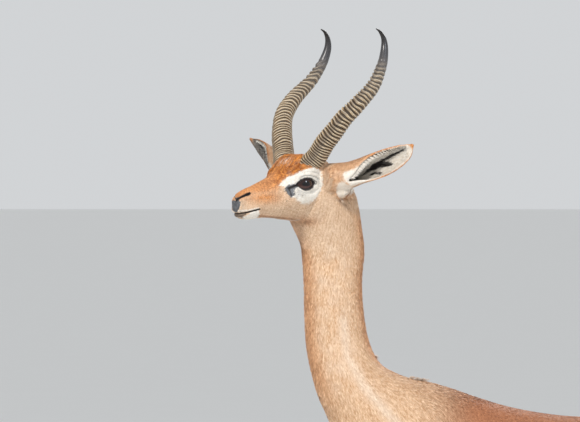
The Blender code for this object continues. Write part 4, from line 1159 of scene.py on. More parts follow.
def ear_rim(along, turn):
    """How near points of an ear lie to its rim or its tip."""
    return np.maximum(ramp(0.88, 0.97, np.abs(turn)) * ramp(0.42, 0.56, along), ramp(0.94, 0.985, along))


def eye_axes(sign):
    """Outward, rearward and upward of the eye, in the head's frame."""
    outward = mirrored(EYE_OUTWARD, sign)
    rearward = mirrored(EYE_REARWARD, sign)
    rearward = unit(rearward - outward * (rearward @ outward))
    upward = np.cross(rearward, outward)
    return outward, rearward, upward * np.sign(upward[2])


def eye_place(local):
    """How far out from the middle of the eye's opening a point lies; 1 on the edge of the lids."""
    outward, rearward, upward = eye_axes(RIGHT)
    away = halved(local) - EYE_CENTRE
    along = (away @ rearward) / (LID_OPENING_LENGTH / 2)
    high = (away @ upward) / (LID_OPENING_HEIGHT / 2)
    open_height = np.maximum(1 - LID_ALMOND * np.clip(np.abs(along), 0, 1) ** 2, 0.05)
    edge = np.sqrt(along**2 + (high / open_height) ** 2)
    return np.where((away @ outward) > 0, edge, 9)


# The skin

def melted(bodies):
    """The overlapping bodies as one closed form, fine on the head and coarser on the body."""
    whole = mesh_object("bodies", bodies)
    remesh = whole.modifiers.new("melt", "REMESH")
    remesh.mode = "VOXEL"
    remesh.voxel_size = SKIN_VOXEL
    made = evaluated("skin", whole)
    bpy.data.objects.remove(whole)
    points = places_of(made.data)
    head, ear_part, local = head_shares(points)
    low_leg = fall(0.45, 0.60, points[:, 2])
    softness = 1 - 0.80 * head - 0.12 * ear_part - 0.45 * low_leg * (1 - head)
    thinning = np.where((head > 0.98) & (ear_part < 0.5) & (local[:, 0] < 0.215), 0.0, 0.5)
    for name, weights in (("soft", softness), ("thin", thinning)):
        group = made.vertex_groups.new(name=name)
        for level in np.unique(np.round(weights, 1)):
            members = np.flatnonzero(np.round(weights, 1) == level)
            group.add(members.tolist(), float(level), "REPLACE")
    relax = made.modifiers.new("relax", "SMOOTH")
    relax.factor = 0.5
    relax.iterations = 22
    relax.vertex_group = "soft"
    thin = made.modifiers.new("thin", "DECIMATE")
    thin.ratio = SKIN_TRIANGLES / (2 * len(made.data.polygons))
    thin.vertex_group = "thin"
    thin.vertex_group_factor = 0.02
    thin.use_collapse_triangulate = True
    result = evaluated("skin", made)
    bpy.data.objects.remove(made)
    result.vertex_groups.clear()
    return result


def evaluated(name, source):
    """A plain mesh object with the modifiers of another one carried out."""
    bpy.context.view_layer.update()
    graph = bpy.context.evaluated_depsgraph_get()
    mesh = bpy.data.meshes.new_from_object(source.evaluated_get(graph))
    mesh.name = name
    made = placed(name, mesh)
    for group in source.vertex_groups:
        made.vertex_groups.new(name=group.name)
    return made


def sculpted(skin):
    """Presses the face's lines, the eye sockets and the body's forms into the skin."""
    points, normals = places_of(skin.data), normals_of(skin.data)
    push = np.zeros(len(points))
    for centre, reach, height in BODY_SWELLINGS.values():
        push += swelling(points, centre, reach, height)
    x, y, z = points.T
    side = ramp(0.25, 0.8, np.abs(normals[:, 1]))
    shank = ramp(0.14, 0.18, z) * fall(0.33, 0.37, z) * side
    for step, stations in ((FORE_STEP, FORELEG_STATIONS), (HIND_STEP, HINDLEG_STATIONS)):
        rows = np.array(stations)[::-1]
        for name, sign in SIDES.items():
            middle = np.interp(z, rows[:, 1], rows[:, 0]) + step[name] * (HIP_HEIGHT - z) / HIP_HEIGHT
            push -= SHANK_GROOVE * shank * (np.sign(y) == sign) * bell(x - middle - 0.003, 0.0026)
    ribs = ramp(0.17, 0.21, x) * fall(0.37, 0.43, x) * ramp(0.72, 0.78, z) * fall(0.84, 0.88, z)
    push += RIB_HEIGHT * ribs * np.sin((x + 0.45 * z) * math.tau / RIB_SPACING)

    local = to_head(points)
    head = np.flatnonzero((local[:, 0] < 0.29) & (z > 1.20))
    seen, toward = seen_from_the_side(local[head], normals[head] @ HEAD_TURNED)
    shown = ramp(-0.30, 0.15, toward) * (np.abs(local[head, 1]) < 0.075)
    for path, width, height in FACE_LINES.values():
        far, _ = from_path(seen, through(path, 4))
        push[head] += height / 1000 * shown * bell(far, width)
    edge = eye_place(local[head])
    push[head] += 0.0010 * bell(edge - 1.35, 0.14)
    points = points + normals * (push - coat_depth(points))[:, None]
    points[head] = from_head(lidded(to_head(points[head]), edge))
    set_places(skin.data, drawn_to_coronets(points))
    return skin


def lidded(local, edge):
    """Points of the head with the lids laid over the eyeballs and the openings fallen in behind."""
    for sign in SIDES.values():
        centre = mirrored(EYE_CENTRE, sign)
        outward = eye_axes(sign)[0]
        away = local - centre
        far = np.linalg.norm(away, axis=1)
        facing = (away @ outward) / np.maximum(far, 1e-6)
        near = (facing > 0.15) & (far < EYE_RADIUS + 0.014)
        lid = EYE_RADIUS + LID_THICKNESS
        opened = fall(0.98, 1.10, edge)
        over = fall(1.20, 1.75, edge) * near
        target = far * (1 - over) + np.maximum(lid, far - LID_PRESSED_IN * over) * over
        target = np.maximum(target, np.where(near & (edge < 1.9), lid, 0))
        target = target * (1 - opened * near) + (EYE_RADIUS - SOCKET_DEPTH) * opened * near
        local = np.where(near[:, None], centre + away * (target / np.maximum(far, 1e-6))[:, None], local)
    return local


def drawn_to_coronets(points):
    """The points, with those below the upper edges of the hooves drawn up to them along the pasterns."""
    slope = (CORONET_HEEL_HEIGHT - CORONET_TOE_HEIGHT) / (HOOF_TOP_HEEL - HOOF_TOP_TOE)
    for side, sign in SIDES.items():
        for foot_x in (FORE_STEP[side], HIND_FOOT_X + HIND_STEP[side]):
            mine = (np.abs(points[:, 0] - foot_x) < 0.06) & (points[:, 1] * sign > 0) & (points[:, 2] < 0.07)
            coronet = CORONET_TOE_HEIGHT + slope * (points[:, 0] - foot_x - HOOF_TOP_TOE)
            below = np.maximum(0, coronet - 0.0006 - points[:, 2]) * mine
            back = below / (1 - slope * PASTERN_SLANT)
            points = points + np.outer(back, (PASTERN_SLANT, 0, 1))
    return points


def refined(skin):
    """Halves the edges near the finest marks of the face, so that their borders are clean."""
    shape = bmesh.new()
    shape.from_mesh(skin.data)
    for reach in (2.0, 0.8):
        ends = np.array([[corner.co for corner in edge.verts] for edge in shape.edges])
        local = to_head(ends.mean(axis=1))
        face = np.flatnonzero((local[:, 0] < 0.175) & (np.abs(local[:, 1]) < 0.06) & (ends[:, 0, 2] > 1.2))
        seen, _ = seen_from_the_side(local[face], local[face])
        near = np.full(len(face), 99.0)
        for outline in (NOSE_PAD, NOSTRIL_PATCH, LOWER_LIP_PATCH, GLAND_PATCH):
            near = np.minimum(near, np.abs(inside(seen, outline)))
        for name in ("mouth", "nostril", "slit of the gland", "corner of the eye"):
            near = np.minimum(near, from_path(seen, through(FACE_LINES[name][0], 3))[0] - 1.0)
        near = np.minimum(near, 14 * np.abs(eye_place(local[face]) - LID_EDGE))
        shape.edges.ensure_lookup_table()
        chosen = [shape.edges[index] for index in face[near < reach]]
        bmesh.ops.subdivide_edges(shape, edges=chosen, cuts=1)
        bmesh.ops.triangulate(shape, faces=[side for side in shape.faces if len(side.verts) > 3])
    shape.to_mesh(skin.data)
    shape.free()
    return skin


def coat_depth(points):
    """How far the skin lies inside the solids, by the length of the coat there."""
    head, ear_part, local = head_shares(points)
    muzzle = fall(0.03, 0.10, local[:, 0])
    leg = fall(0.50, 0.66, points[:, 2])
    neck = ramp(0.95, 1.10, points[:, 2])
    body = (0.0016 + 0.0008 * neck) * (1 - head) * (1 - leg) + 0.0008 * leg
    return body + head * (0.0008 - 0.0002 * muzzle) * (1 - 0.4 * ear_part)


def lie_of_coat(normals, samples, edges):
    """Which way the hair lies at each vertex, along the skin."""
    flow = SAMPLE_RUNS[samples].copy()
    names = np.array(BONE_NAMES)[SAMPLE_BONES[samples]]
    flow[names == "trunk"] += (0, 0, -0.30)
    flow[names == "head"] += (0, 0, -0.10)
    flow = evened(flow, edges, 24)
    flow = flow - normals * np.sum(flow * normals, axis=1, keepdims=True)
    return unit(flow)


def store(mesh, name, kind, values):
    attribute = mesh.attributes.new(name, kind, "POINT")
    field = "value" if kind == "FLOAT" else "vector"
    attribute.data.foreach_set(field, np.asarray(values, np.float32).ravel())


def store_markings(mesh, warm, cool, tone):
    """Saddle, rust and pale in one attribute; grey, dark and tone in the other."""
    store(mesh, "warm_marks", "FLOAT_VECTOR", warm)
    store(mesh, "cool_marks", "FLOAT_VECTOR", np.column_stack([cool, tone]))


# The coat

class Skin:
    """The skin read once, for rooting hair on it."""

    def __init__(self, made):
        mesh = made.data
        self.points, self.normals, self.triangles = places_of(mesh), normals_of(mesh), triangles_of(mesh)
        self.samples = nearest_samples(self.points)
        self.lie = lie_of_coat(self.normals, self.samples, edges_of(mesh))
        a, b, c = (self.points[self.triangles[:, k]] for k in range(3))
        self.areas = np.linalg.norm(np.cross(b - a, c - a), axis=1) / 2
        self.middles = (a + b + c) / 3

    def rooted(self, density, seed):
        """Random roots, this many to the square metre on each triangle, and the draws that go on."""
        chance = np.random.default_rng(seed)
        wanted = self.areas * density
        count = np.floor(wanted + chance.random(len(wanted))).astype(int)
        picked = np.repeat(np.arange(len(count)), count)
        first, second = chance.random((2, len(picked)))
        over = first + second > 1
        first[over], second[over] = 1 - first[over], 1 - second[over]
        weights = np.stack([1 - first - second, first, second], axis=1)
        corners = self.triangles[picked]
        roots, normals, lie = (
            np.einsum("nk,nkc->nc", weights, values[corners])
            for values in (self.points, self.normals, self.lie)
        )
        nearest = corners[np.arange(len(picked)), np.argmax(weights, axis=1)]
        return roots, unit(normals), unit(lie), self.samples[nearest], chance


def within_ear(points, normals):
    """Which points are on the inside of an ear's cup past its tube, and how near its rim."""
    local = to_head(points)
    facing = normals @ HEAD_TURNED
    within, rim = np.zeros(len(points), bool), np.zeros(len(points))
    for side, sign in SIDES.items():
        mine = np.flatnonzero((local[:, 1] * sign > 0.060) & (local[:, 0] > 0.18))
        if len(mine):
            along, turn, inner, close = ear_place(local[mine], facing[mine], side)
            within[mine] = inner & close & (along > 0.08)
            near = ramp(0.72, 0.90, np.abs(turn)) * ramp(0.15, 0.30, along)
            rim[mine] = np.maximum(near, 1.3 * ramp(0.84, 0.92, along))
    return within, rim


def ear_fringe():
    """Long white hair that hangs from the upper rim of each ear across its opening."""
    chance = np.random.default_rng(EAR_FRINGE_SEED)
    parts = []
    for side in SIDES:
        middle, _, opening, across, radius, half_angle, share = ear_frames(side, 5)
        count = EAR_FRINGE_HAIRS
        at = chance.uniform(0.27, 0.90, count)
        where = np.clip(np.searchsorted(share, at), 1, len(share) - 1)
        runs = unit(np.gradient(middle, axis=0))[where]
        upper = np.sign(across[where] @ HEAD_TURNED.T[:, 2])[:, None]
        turn = (half_angle[where] * chance.uniform(0.62, 0.91, count))[:, None]
        outward = unit(-opening[where] * np.cos(turn) + across[where] * np.sin(turn) * upper)
        roots = middle[where] + outward * (radius[where] - EAR_WALL * 0.75)[:, None]
        lie = unit(runs * 0.85 - across[where] * upper * 0.75 + opening[where] * 0.25)
        lie = unit(lie + chance.normal(0, 0.10, (count, 3)))
        parts.append((roots, -outward, lie, at))
    roots, normals, lie, at = (np.concatenate(values) for values in zip(*parts))
    roots, normals, lie = from_head(roots), normals @ HEAD_TURNED.T, lie @ HEAD_TURNED.T
    count = len(roots)
    length = np.interp(at, (0.27, 0.45, 0.70, 0.90), (0.0135, 0.012, 0.0085, 0.005))
    length = length * chance.uniform(0.60, 1.12, count)
    width = 0.00048 * chance.uniform(0.7, 1.3, count)
    tone = np.clip(0.72 + chance.normal(0, 0.20, count), 0, 1)
    warm = np.tile((0, 0, 1), (count, 1))
    cool = np.column_stack([0.18 * (chance.random(count) < 0.25), np.zeros(count)])
    patch = unwrapped(roots, nearest_samples(roots), np.ones(count, bool))
    roll = chance.normal(0, 0.35, count)
    lift = np.full(count, 0.0010)
    return blades(
        "coat_ear_fringe", roots, normals, lie, length, width, lift, roll, warm, cool, tone, patch
    )


def blades(name, roots, normals, lie, length, width, lift, roll, warm, cool, tone, patch):
    """Hair as narrow blades, two sided by their shape: a wide root, a bend and a point."""
    across = unit(np.cross(normals, lie))
    across = unit(across * np.cos(roll)[:, None] + normals * np.sin(roll)[:, None])
    length, width, lift = length[:, None], width[:, None], lift[:, None]
    low = roots - normals * 0.0005
    bend = roots + lie * length * 0.5 + normals * lift * 0.85
    tip = roots + lie * length + normals * lift
    corners = np.stack(
        [
            low - across * width / 2,
            low + across * width / 2,
            bend - across * width * 0.42,
            bend + across * width * 0.42,
            tip,
        ],
        axis=1,
    )
    start = np.arange(len(roots))[:, None, None] * 5
    triangles = (start + np.array([[0, 1, 3], [0, 3, 2], [2, 3, 4]])[None]).reshape(-1, 3)
    shape = np.array([(0, 0), (1, 0), (0, 0.5), (1, 0.5), (0.5, 1)]) * TUFT_PATCH - TUFT_PATCH / 2
    spots = (patch[:, None, :] + shape[None]).reshape(-1, 2)
    made = triangle_object(name, corners.reshape(-1, 3), triangles, spots)
    store_markings(made.data, *(np.repeat(values, 5, axis=0) for values in (warm, cool, tone)))
    return made


def fur_sizes(points):
    """Length, width and lift of the hair over the body."""
    head, ear_part, local = head_shares(points)
    muzzle = fall(0.02, 0.11, local[:, 0])
    leg = fall(0.50, 0.68, points[:, 2])
    foot = fall(0.06, 0.30, points[:, 2])
    neck = ramp(0.90, 1.05, points[:, 2])
    long = 0.0095 - 0.0028 * neck - 0.0030 * leg - 0.0015 * foot
    length = (1 - head) * long + head * (0.0046 - 0.0028 * muzzle)
    width = (1 - head) * (0.00120 - 0.0001 * neck - 0.0003 * leg) + head * (0.00075 - 0.0002 * muzzle)
    lift = (1 - head) * (0.0014 - 0.0006 * leg) + head * (0.00060 - 0.00035 * muzzle)
    return length * (1 - 0.25 * ear_part), width * (1 - 0.15 * ear_part), lift * (1 - 0.2 * ear_part)


def bare(local):
    """Whether points of the head lie on the naked nose and lips."""
    seen, _ = seen_from_the_side(local, local)
    far, _ = from_path(seen, FACE_LINES["mouth"][0])
    bared = far < 1.9
    for outline in (NOSE_PAD, NOSTRIL_PATCH, LOWER_LIP_PATCH, GLAND_PATCH):
        bared |= inside(seen, outline) > (-0.2 if outline is not GLAND_PATCH else 1.5)
    return bared & (np.abs(local[:, 1]) < 0.048) & (local[:, 0] < 0.14)


def short_coat(skin):
    """The flat fur, in pieces by the part of the body it covers."""
    head, ear_part, local = head_shares(skin.middles)
    face_density = FACE_DENSITY + MUZZLE_DENSITY_MORE * fall(0.02, 0.10, local[:, 0])
    density = BODY_DENSITY * (1 - head) + face_density * head * (1 - ear_part) + EAR_DENSITY * ear_part
    naked = (head > 0) & ((eye_place(local) < LID_EDGE) | bare(local))
    density = np.where(naked | (skin.middles[:, 2] < COAT_END_HEIGHT), 0, density)
    roots, normals, lie, samples, chance = skin.rooted(density, COAT_SEED)
    place = to_head(roots)
    warm, cool = markings(roots, normals)
    length, width, lift = fur_sizes(roots)
    inner, rim = within_ear(roots, normals)
    count = len(roots)
    length = length * chance.uniform(0.75, 1.25, count)
    width = width * chance.uniform(0.75, 1.25, count)
    lift = lift * chance.uniform(0.5, 1.2, count)
    lift = np.where(inner, 0.0009, lift) * (1 - 0.75 * rim)
    length = np.where(inner, length * 1.25, length) * (1 - 0.55 * rim)
    roll = chance.normal(0, 0.22, count)
    swerve = (chance.normal(0, 0.12, count) + 0.16 * mottle(roots, 0.022))[:, None]
    lie = unit(lie + np.cross(normals, lie) * swerve)
    grain = speckle(roots, 0.0026) + speckle(roots + 0.5, 0.0019) - 1
    tone = 0.5 + 0.30 * chance.normal(0, 1, count) + 0.38 * grain + 0.12 * mottle(roots, 0.03)
    white = warm[:, 1] * (roots[:, 2] > CROWN_FLOOR)
    crown = white * ramp(0.060, 0.090, place[:, 0])
    tone = np.clip(tone + white * 0.12 - 0.24 * crown + 0.5 * crown * mottle(roots, 0.012), 0, 1)
    patch = unwrapped(roots, samples, inner & (np.abs(place[:, 1]) > 0.06))
    names = np.array(BONE_NAMES)[SAMPLE_BONES[samples]]
    on_head, on_trunk, on_neck = names == "head", names == "trunk", roots[:, 0] < 0.0
    groups = {
        "coat_face_left": on_head & (place[:, 1] < 0),
        "coat_face_right": on_head & (place[:, 1] >= 0),
        "coat_ear_left": names == "ear_left",
        "coat_ear_right": names == "ear_right",
        "coat_neck_left": on_trunk & on_neck & (roots[:, 1] < 0),
        "coat_neck_right": on_trunk & on_neck & (roots[:, 1] >= 0),
        "coat_trunk_left": on_trunk & ~on_neck & (roots[:, 1] < 0),
        "coat_trunk_right": on_trunk & ~on_neck & (roots[:, 1] >= 0),
        "coat_forelegs": np.char.startswith(names, "foreleg"),
        "coat_hindleg_left": names == "hindleg_left",
        "coat_hindleg_right": names == "hindleg_right",
        "coat_tail": names == "tail",
    }
    hairs = (roots, normals, lie, length, width, lift, roll, warm, cool, tone, patch)
    return [blades(name, *(values[chosen] for values in hairs)) for name, chosen in groups.items()]


def long_hair(skin):
    """Longer hair on the brow and crown, and the tufts on the knees and the nape."""
    x, _, z = skin.middles.T
    back, across, up = to_head(skin.middles).T
    crown = (np.abs(across) < 0.030) & (back > 0.100) & (back < 0.185) & (up > 0.040) & (z > CROWN_FLOOR)
    knee = (np.abs(z - 0.382) < 0.022) & (x < 0.2)
    tufts = np.zeros(len(x), bool)
    for place, height, reach in NAPE_TUFTS:
        tufts |= np.linalg.norm((skin.middles - (place, 0, height)) / (1, 1.4, 1.6), axis=1) < reach
    density = CROWN_DENSITY * crown + KNEE_DENSITY * knee + NAPE_DENSITY * tufts
    roots, normals, lie, samples, chance = skin.rooted(density, LONG_HAIR_SEED)
    warm, cool = markings(roots, normals)
    count = len(roots)
    high = roots[:, 2] > CROWN_FLOOR
    nape = (roots[:, 2] > 0.9) & ~high
    # The nape's tufts are golden, and painted paler besides, a painted light against the shade of their
    # raised hairs
    warm[nape] = (0, 0.20, 0.55)
    length = np.where(high, 0.0090, np.where(nape, 0.0105, 0.0085)) * chance.uniform(0.6, 1.3, count)
    width = 0.0009 * chance.uniform(0.8, 1.2, count)
    lift = np.where(high, 0.0014, np.where(nape, 0.0050, 0.0022)) * chance.uniform(0.4, 1.4, count)
    roll = chance.normal(0, 0.3, count)
    lie = unit(lie + np.cross(normals, lie) * chance.normal(0, 0.22, count)[:, None])
    tone = np.clip(0.5 + chance.normal(0, 0.25, count) + 0.5 * high * mottle(roots, 0.012), 0, 1)
    patch = unwrapped(roots, samples, np.zeros(count, bool))
    return blades("coat_long_hair", roots, normals, lie, length, width, lift, roll, warm, cool, tone, patch)


def tail_brush():
    """The black brush of long hair that ends the tail."""
    chance = np.random.default_rng(TAIL_BRUSH_SEED)
    count = TAIL_BRUSH_HAIRS
    turn = chance.uniform(0, math.tau, count)
    out = np.sqrt(chance.uniform(0, 1, count))
    start = chance.uniform(0, 0.030, count)
    roots = TAIL_BRUSH_TOP + np.stack([np.cos(turn) * out * 0.007, np.sin(turn) * out * 0.007, -start], 1)
    outward = np.stack([np.cos(turn), np.sin(turn), np.zeros(count)], axis=1)
    length = TAIL_BRUSH_LENGTH * chance.uniform(0.55, 0.98, count) - start
    strands = []
    for share in np.linspace(0, 1, 6):
        spread = outward * (0.008 * out * math.sin(math.pi * min(1, share * 0.8)))[:, None]
        strands.append(roots + spread + np.outer(length * share, (0, 0, -1)) + (-0.011 * share**2, 0, 0))
    strands = np.stack(strands, axis=1)
    across = np.stack([-np.sin(turn + 0.6), np.cos(turn + 0.6), np.zeros(count)], axis=1)[:, None]
    half = 0.00045 * np.array((0.7, 1, 1, 0.9, 0.6))[None, :, None]
    left, right = strands[:, :5] - across * half, strands[:, :5] + across * half
    corners = np.concatenate([np.stack([left, right], 2).reshape(count, 10, 3), strands[:, 5:]], axis=1)
    pattern = [f for k in range(4) for f in ((2 * k, 2 * k + 1, 2 * k + 3), (2 * k, 2 * k + 3, 2 * k + 2))]
    pattern.append((8, 9, 10))
    triangles = (np.arange(count)[:, None, None] * 11 + np.array(pattern)[None]).reshape(-1, 3)
    spots = np.stack([turn / math.tau, 0.1 + start * 20], axis=1) * 0.9 + 0.05
    shape = np.array([(k % 2, k / 10) for k in range(11)]) * TUFT_PATCH
    spots = (spots[:, None] + shape[None]).reshape(-1, 2)
    return triangle_object("tail_brush", corners.reshape(-1, 3), triangles, spots)


# Horns, eyes, lids and hooves

def horn(side):
    """A horn with rounded, slightly uneven ridges that die away towards a smooth tip."""
    sign = SIDES[side]
    turned = np.array(Matrix.Rotation(HEAD_TURN, 3, "Z"))
    rows = through(HORN_STATIONS, 24)
    points = (rows[:, :3] * (1, sign, 1)) @ turned.T + NOSE_TIP * (1, 1, 0)
    steps = np.linalg.norm(np.diff(points, axis=0), axis=1)
    along = np.concatenate([[0], np.cumsum(steps)]) / steps.sum()
    gaps = np.interp(along, *np.array(HORN_RING_GAPS).T)
    rung = np.concatenate([[0], np.cumsum(steps / gaps[1:])])
    last = np.interp(HORN_RINGED_SHARE, along, rung)
    phase = np.concatenate([np.arange(0, last, 1 / 13), np.linspace(last, rung[-1], 60)])
    shares = np.interp(phase, rung, along)
    middles = np.stack([np.interp(shares, along, points[:, k]) for k in range(3)], axis=1)
    run = unit(np.gradient(middles, axis=0))
    run[1:-1] = unit(run[:-2] + 2 * run[1:-1] + run[2:])
    back = turned @ (1, 0, 0)
    across = unit(np.cross(run, back))
    forward = np.cross(across, run)
    sides = 72
    angle = math.tau * np.arange(sides) / sides
    turn = angle * sign
    arch = 0.62 * np.cos(turn + math.radians(238)) + 0.20 * np.cos(2 * turn + 0.6)
    wobble = 0.05 * np.sin(5 * turn[None] + 1.3 * phase[:, None])
    wobble += 0.07 * np.sin(3 * turn[None] - 0.8 * phase[:, None])
    fade_in = np.minimum(1, phase / 3)[:, None]
    phase = phase[:, None] + (arch[None] + wobble) * fade_in + 0.12 * np.sin(phase * 1.7)[:, None]
    crest = 1 - 2 * ((1 - np.cos(math.tau * phase)) / 2) ** 1.3
    fine = np.cos(math.tau * (3 * phase + 0.4 * np.sin(2 * turn)[None]))
    fade = fall(HORN_RINGED_SHARE - 0.10, HORN_RINGED_SHARE + 0.02, shares)[:, None]
    uneven = 0.80 + 0.25 * np.sin(np.floor(phase) * 2.7)
    fore = 0.62 + 0.38 * np.cos(turn - math.radians(165))[None]
    small = 0.40 + 0.60 * ramp(0.04, 0.26, shares)[:, None]
    height = (crest * 0.8 + fine * 0.16 - 0.3) * fade * uneven * fore * small
    cracks = 0.00012 * np.sin(angle * 31 + 3 * np.sin(shares * 90)[:, None]) * fade
    radius = np.interp(shares, along, rows[:, 3])[:, None] / 2 + height * HORN_RIDGE / 2 + cracks
    rings = (
        middles[:, None]
        + forward[:, None] * (radius * np.cos(angle))[..., None]
        + across[:, None] * (radius * 0.90 * np.sin(angle))[..., None]
    )
    made = mesh_object(f"horn_sheath_{side}", [lofted(rings)])
    front = ramp(0.88, 0.99, np.cos(turn - math.radians(160)))
    relief = (0.5 + 0.34 * crest + 0.16 * fine) * fade + 0.62 * (1 - fade)
    store(made.data, "relief", "FLOAT", relief.ravel())
    store(made.data, "along", "FLOAT", np.repeat(shares, sides))
    store(made.data, "front", "FLOAT", np.tile(front, len(shares)))
    return made


def eyeball(side):
    made = mesh_object(f"eyeball_{side}", [ellipsoid((0, 0, 0), [EYE_RADIUS] * 3, 64, 48)])
    outward, rearward, upward = eye_axes(SIDES[side])
    axes = np.stack([rearward, upward, outward], axis=1)
    points = places_of(made.data)
    store(made.data, "gaze", "FLOAT_VECTOR", points / EYE_RADIUS)
    set_places(made.data, from_head(points @ axes.T + mirrored(EYE_CENTRE, SIDES[side])))
    outwards(made.data)
    return made


def lid_curve(sign, scale, reach, count=96):
    """Points of the edge of the lids on a ball of this radius about the eye, in the head's frame."""
    outward, rearward, upward = eye_axes(sign)
    angle = math.tau * np.arange(count) / count
    along = np.cos(angle) * scale
    high = np.sin(angle) * (1 - LID_ALMOND * np.abs(np.cos(angle)) ** 2) * scale
    x, y = along * LID_OPENING_LENGTH / 2, high * LID_OPENING_HEIGHT / 2
    x = x - 0.0012 * bell(angle - math.pi, 0.35)
    y = y - 0.0012 * bell(angle - math.pi, 0.50)
    deep = np.sqrt(np.maximum(reach**2 - x**2 - y**2, 1e-8))
    return mirrored(EYE_CENTRE, sign) + np.outer(x, rearward) + np.outer(y, upward) + np.outer(deep, outward)


def lid_rim(side):
    """The dark bare edge of the lids, a soft roll that lies on the eyeball."""
    sign = SIDES[side]
    middle = lid_curve(sign, 1.02, EYE_RADIUS + 0.0006)
    run = unit(np.roll(middle, -1, axis=0) - np.roll(middle, 1, axis=0))
    out = unit(middle - mirrored(EYE_CENTRE, sign))
    across = np.cross(run, out)
    rings = []
    c, s = turns(14)
    upper = ramp(-0.3, 0.6, np.sin(math.tau * np.arange(len(middle)) / len(middle)))
    for i in range(len(middle)):
        wide, thick = 0.0019 + 0.0003 * upper[i], 0.0013 + 0.0003 * upper[i]
        rings.append(middle[i] + np.outer(c * wide, across[i]) + np.outer(s * thick, out[i]))
    points, faces = lofted(rings, looped=True)
    return mesh_object(f"lid_rim_{side}", [(from_head(points), faces)])


def claw(name, foot_x, foot_y, sign):
    """Half of a cloven hoof: pointed in front, flat inside and below."""
    top_toe, top_heel = HOOF_TOP_TOE, HOOF_TOP_HEEL
    runs = (0, 0.06, 0.16, 0.32, 0.52, 0.74, 0.92, 1.0)
    bulges = (0.10, 0.34, 0.62, 0.88, 1.0, 0.96, 0.72, 0.42)
    run = np.concatenate([np.linspace(0, 1, 30) ** 1.3, np.linspace(1, 0, 12)])
    side = np.concatenate([np.interp(run[:30], runs, bulges), np.zeros(12)])
    rings = []
    for share in (0, 0.03, 0.12, 0.25, 0.4, 0.55, 0.7, 0.85, 1):
        toe = HOOF_TOE + (top_toe - HOOF_TOE) * share**0.9
        heel = HOOF_HEEL + (top_heel - HOOF_HEEL) * share
        width = CLAW_WIDTH * (1 - 0.10 * share) * (0.96 if share == 0 else 1)
        x = toe + (heel - toe) * run
        slope = (x - top_toe) / (top_heel - top_toe)
        z = share * (CORONET_TOE_HEIGHT + (CORONET_HEEL_HEIGHT - CORONET_TOE_HEIGHT) * slope)
        y = sign * (CLAW_SPLIT / 2 + side * width)
        rings.append(np.stack([foot_x + x, foot_y + y, z], axis=1))
    return mesh_object(name, [lofted(rings)])


# Materials

class Value:
    """A number in a material's node tree, which takes part in arithmetic."""

    def __init__(self, look, socket):
        self.look, self.socket = look, socket

    def maths(self, operation, *numbers):
        return self.look.node("ShaderNodeMath", {"operation": operation}, dict(enumerate(numbers)))

    def root(self):
        return self.maths("SQRT", self)

    def __add__(self, other):
        return self.maths("ADD", self, other)

    __radd__ = __add__

    def __sub__(self, other):
        return self.maths("SUBTRACT", self, other)

    def __rsub__(self, other):
        return self.maths("SUBTRACT", other, self)

    def __mul__(self, other):
        return self.maths("MULTIPLY", self, other)

    __rmul__ = __mul__


class Look:
    """One material, with a way to add nodes to it."""

    def __init__(self, name, **constants):
        self.material = bpy.data.materials.new(name)
        self.material.use_nodes = True
        self.nodes, self.links = self.material.node_tree.nodes, self.material.node_tree.links
        self.shader = self.nodes["Principled BSDF"]
        for socket, value in constants.items():
            self.shader.inputs[socket.replace("_", " ")].default_value = value

    def node(self, kind, settings, sockets, output=0):
        made = self.nodes.new(kind)
        for name, value in settings.items():
            if name == "stops":
                while len(made.color_ramp.elements) < len(value):
                    made.color_ramp.elements.new(0.5)
                for element, (place, colour) in zip(made.color_ramp.elements, value):
                    element.position, element.color = place, colour
            else:
                setattr(made, name, value)
        for key, value in sockets.items():
            if isinstance(value, Value):
                self.links.new(value.socket, made.inputs[key])
            else:
                made.inputs[key].default_value = value
        return Value(self, made.outputs[output])

    def mixed(self, amount, first, second):
        """Two colours mixed."""
        settings = {"data_type": "RGBA", "clamp_factor": True}
        return self.node("ShaderNodeMix", settings, {0: amount, 6: first, 7: second}, 2)

    def rise(self, value, low, high, kind="SMOOTHSTEP"):
        """From 0 to 1 while the value goes from low to high."""
        sockets = {"Value": value, "From Min": low, "From Max": high}
        return self.node("ShaderNodeMapRange", {"interpolation_type": kind}, sockets)

    def parts(self, attribute):
        """The three numbers of a vector attribute."""
        vector = self.node("ShaderNodeAttribute", {"attribute_name": attribute}, {}, "Vector")
        split = self.node("ShaderNodeSeparateXYZ", {}, {0: vector})
        return [Value(self, split.socket.node.outputs[k]) for k in range(3)]

    def number(self, attribute):
        return self.node("ShaderNodeAttribute", {"attribute_name": attribute}, {}, "Fac")

    def noise(self, size, stretch=(1, 1, 1), detail=3.0, roughness=0.55):
        """Uneven spots of about this size, in the place on the piece, stretched."""
        here = self.node("ShaderNodeTexCoord", {}, {}, "Object")
        place = self.node("ShaderNodeMapping", {}, {"Vector": here, "Scale": stretch})
        sockets = {"Vector": place, "Scale": 1 / size, "Detail": detail, "Roughness": roughness}
        return self.node("ShaderNodeTexNoise", {}, sockets)

    def bump(self, height, distance, strength):
        sockets = {"Strength": strength, "Distance": distance, "Height": height}
        self.feed("Normal", self.node("ShaderNodeBump", {}, sockets))

    def feed(self, socket, value):
        self.links.new(value.socket, self.shader.inputs[socket])


FAWN = srgb(190, 145, 104)
FAWN_LIGHT = srgb(242, 214, 182)
CHESTNUT = srgb(118, 62, 38)
CHESTNUT_LIGHT = srgb(182, 114, 72)
RUST = srgb(142, 70, 26)
RUST_LIGHT = srgb(240, 160, 76)
CREAM_HAIR = srgb(226, 216, 200)
WHITE_HAIR = srgb(252, 249, 243)
SLATE = srgb(38, 40, 46)
SLATE_LIGHT = srgb(124, 126, 130)
BLACK_HAIR = srgb(12, 10, 10)
BLACK_LIGHT = srgb(44, 37, 34)


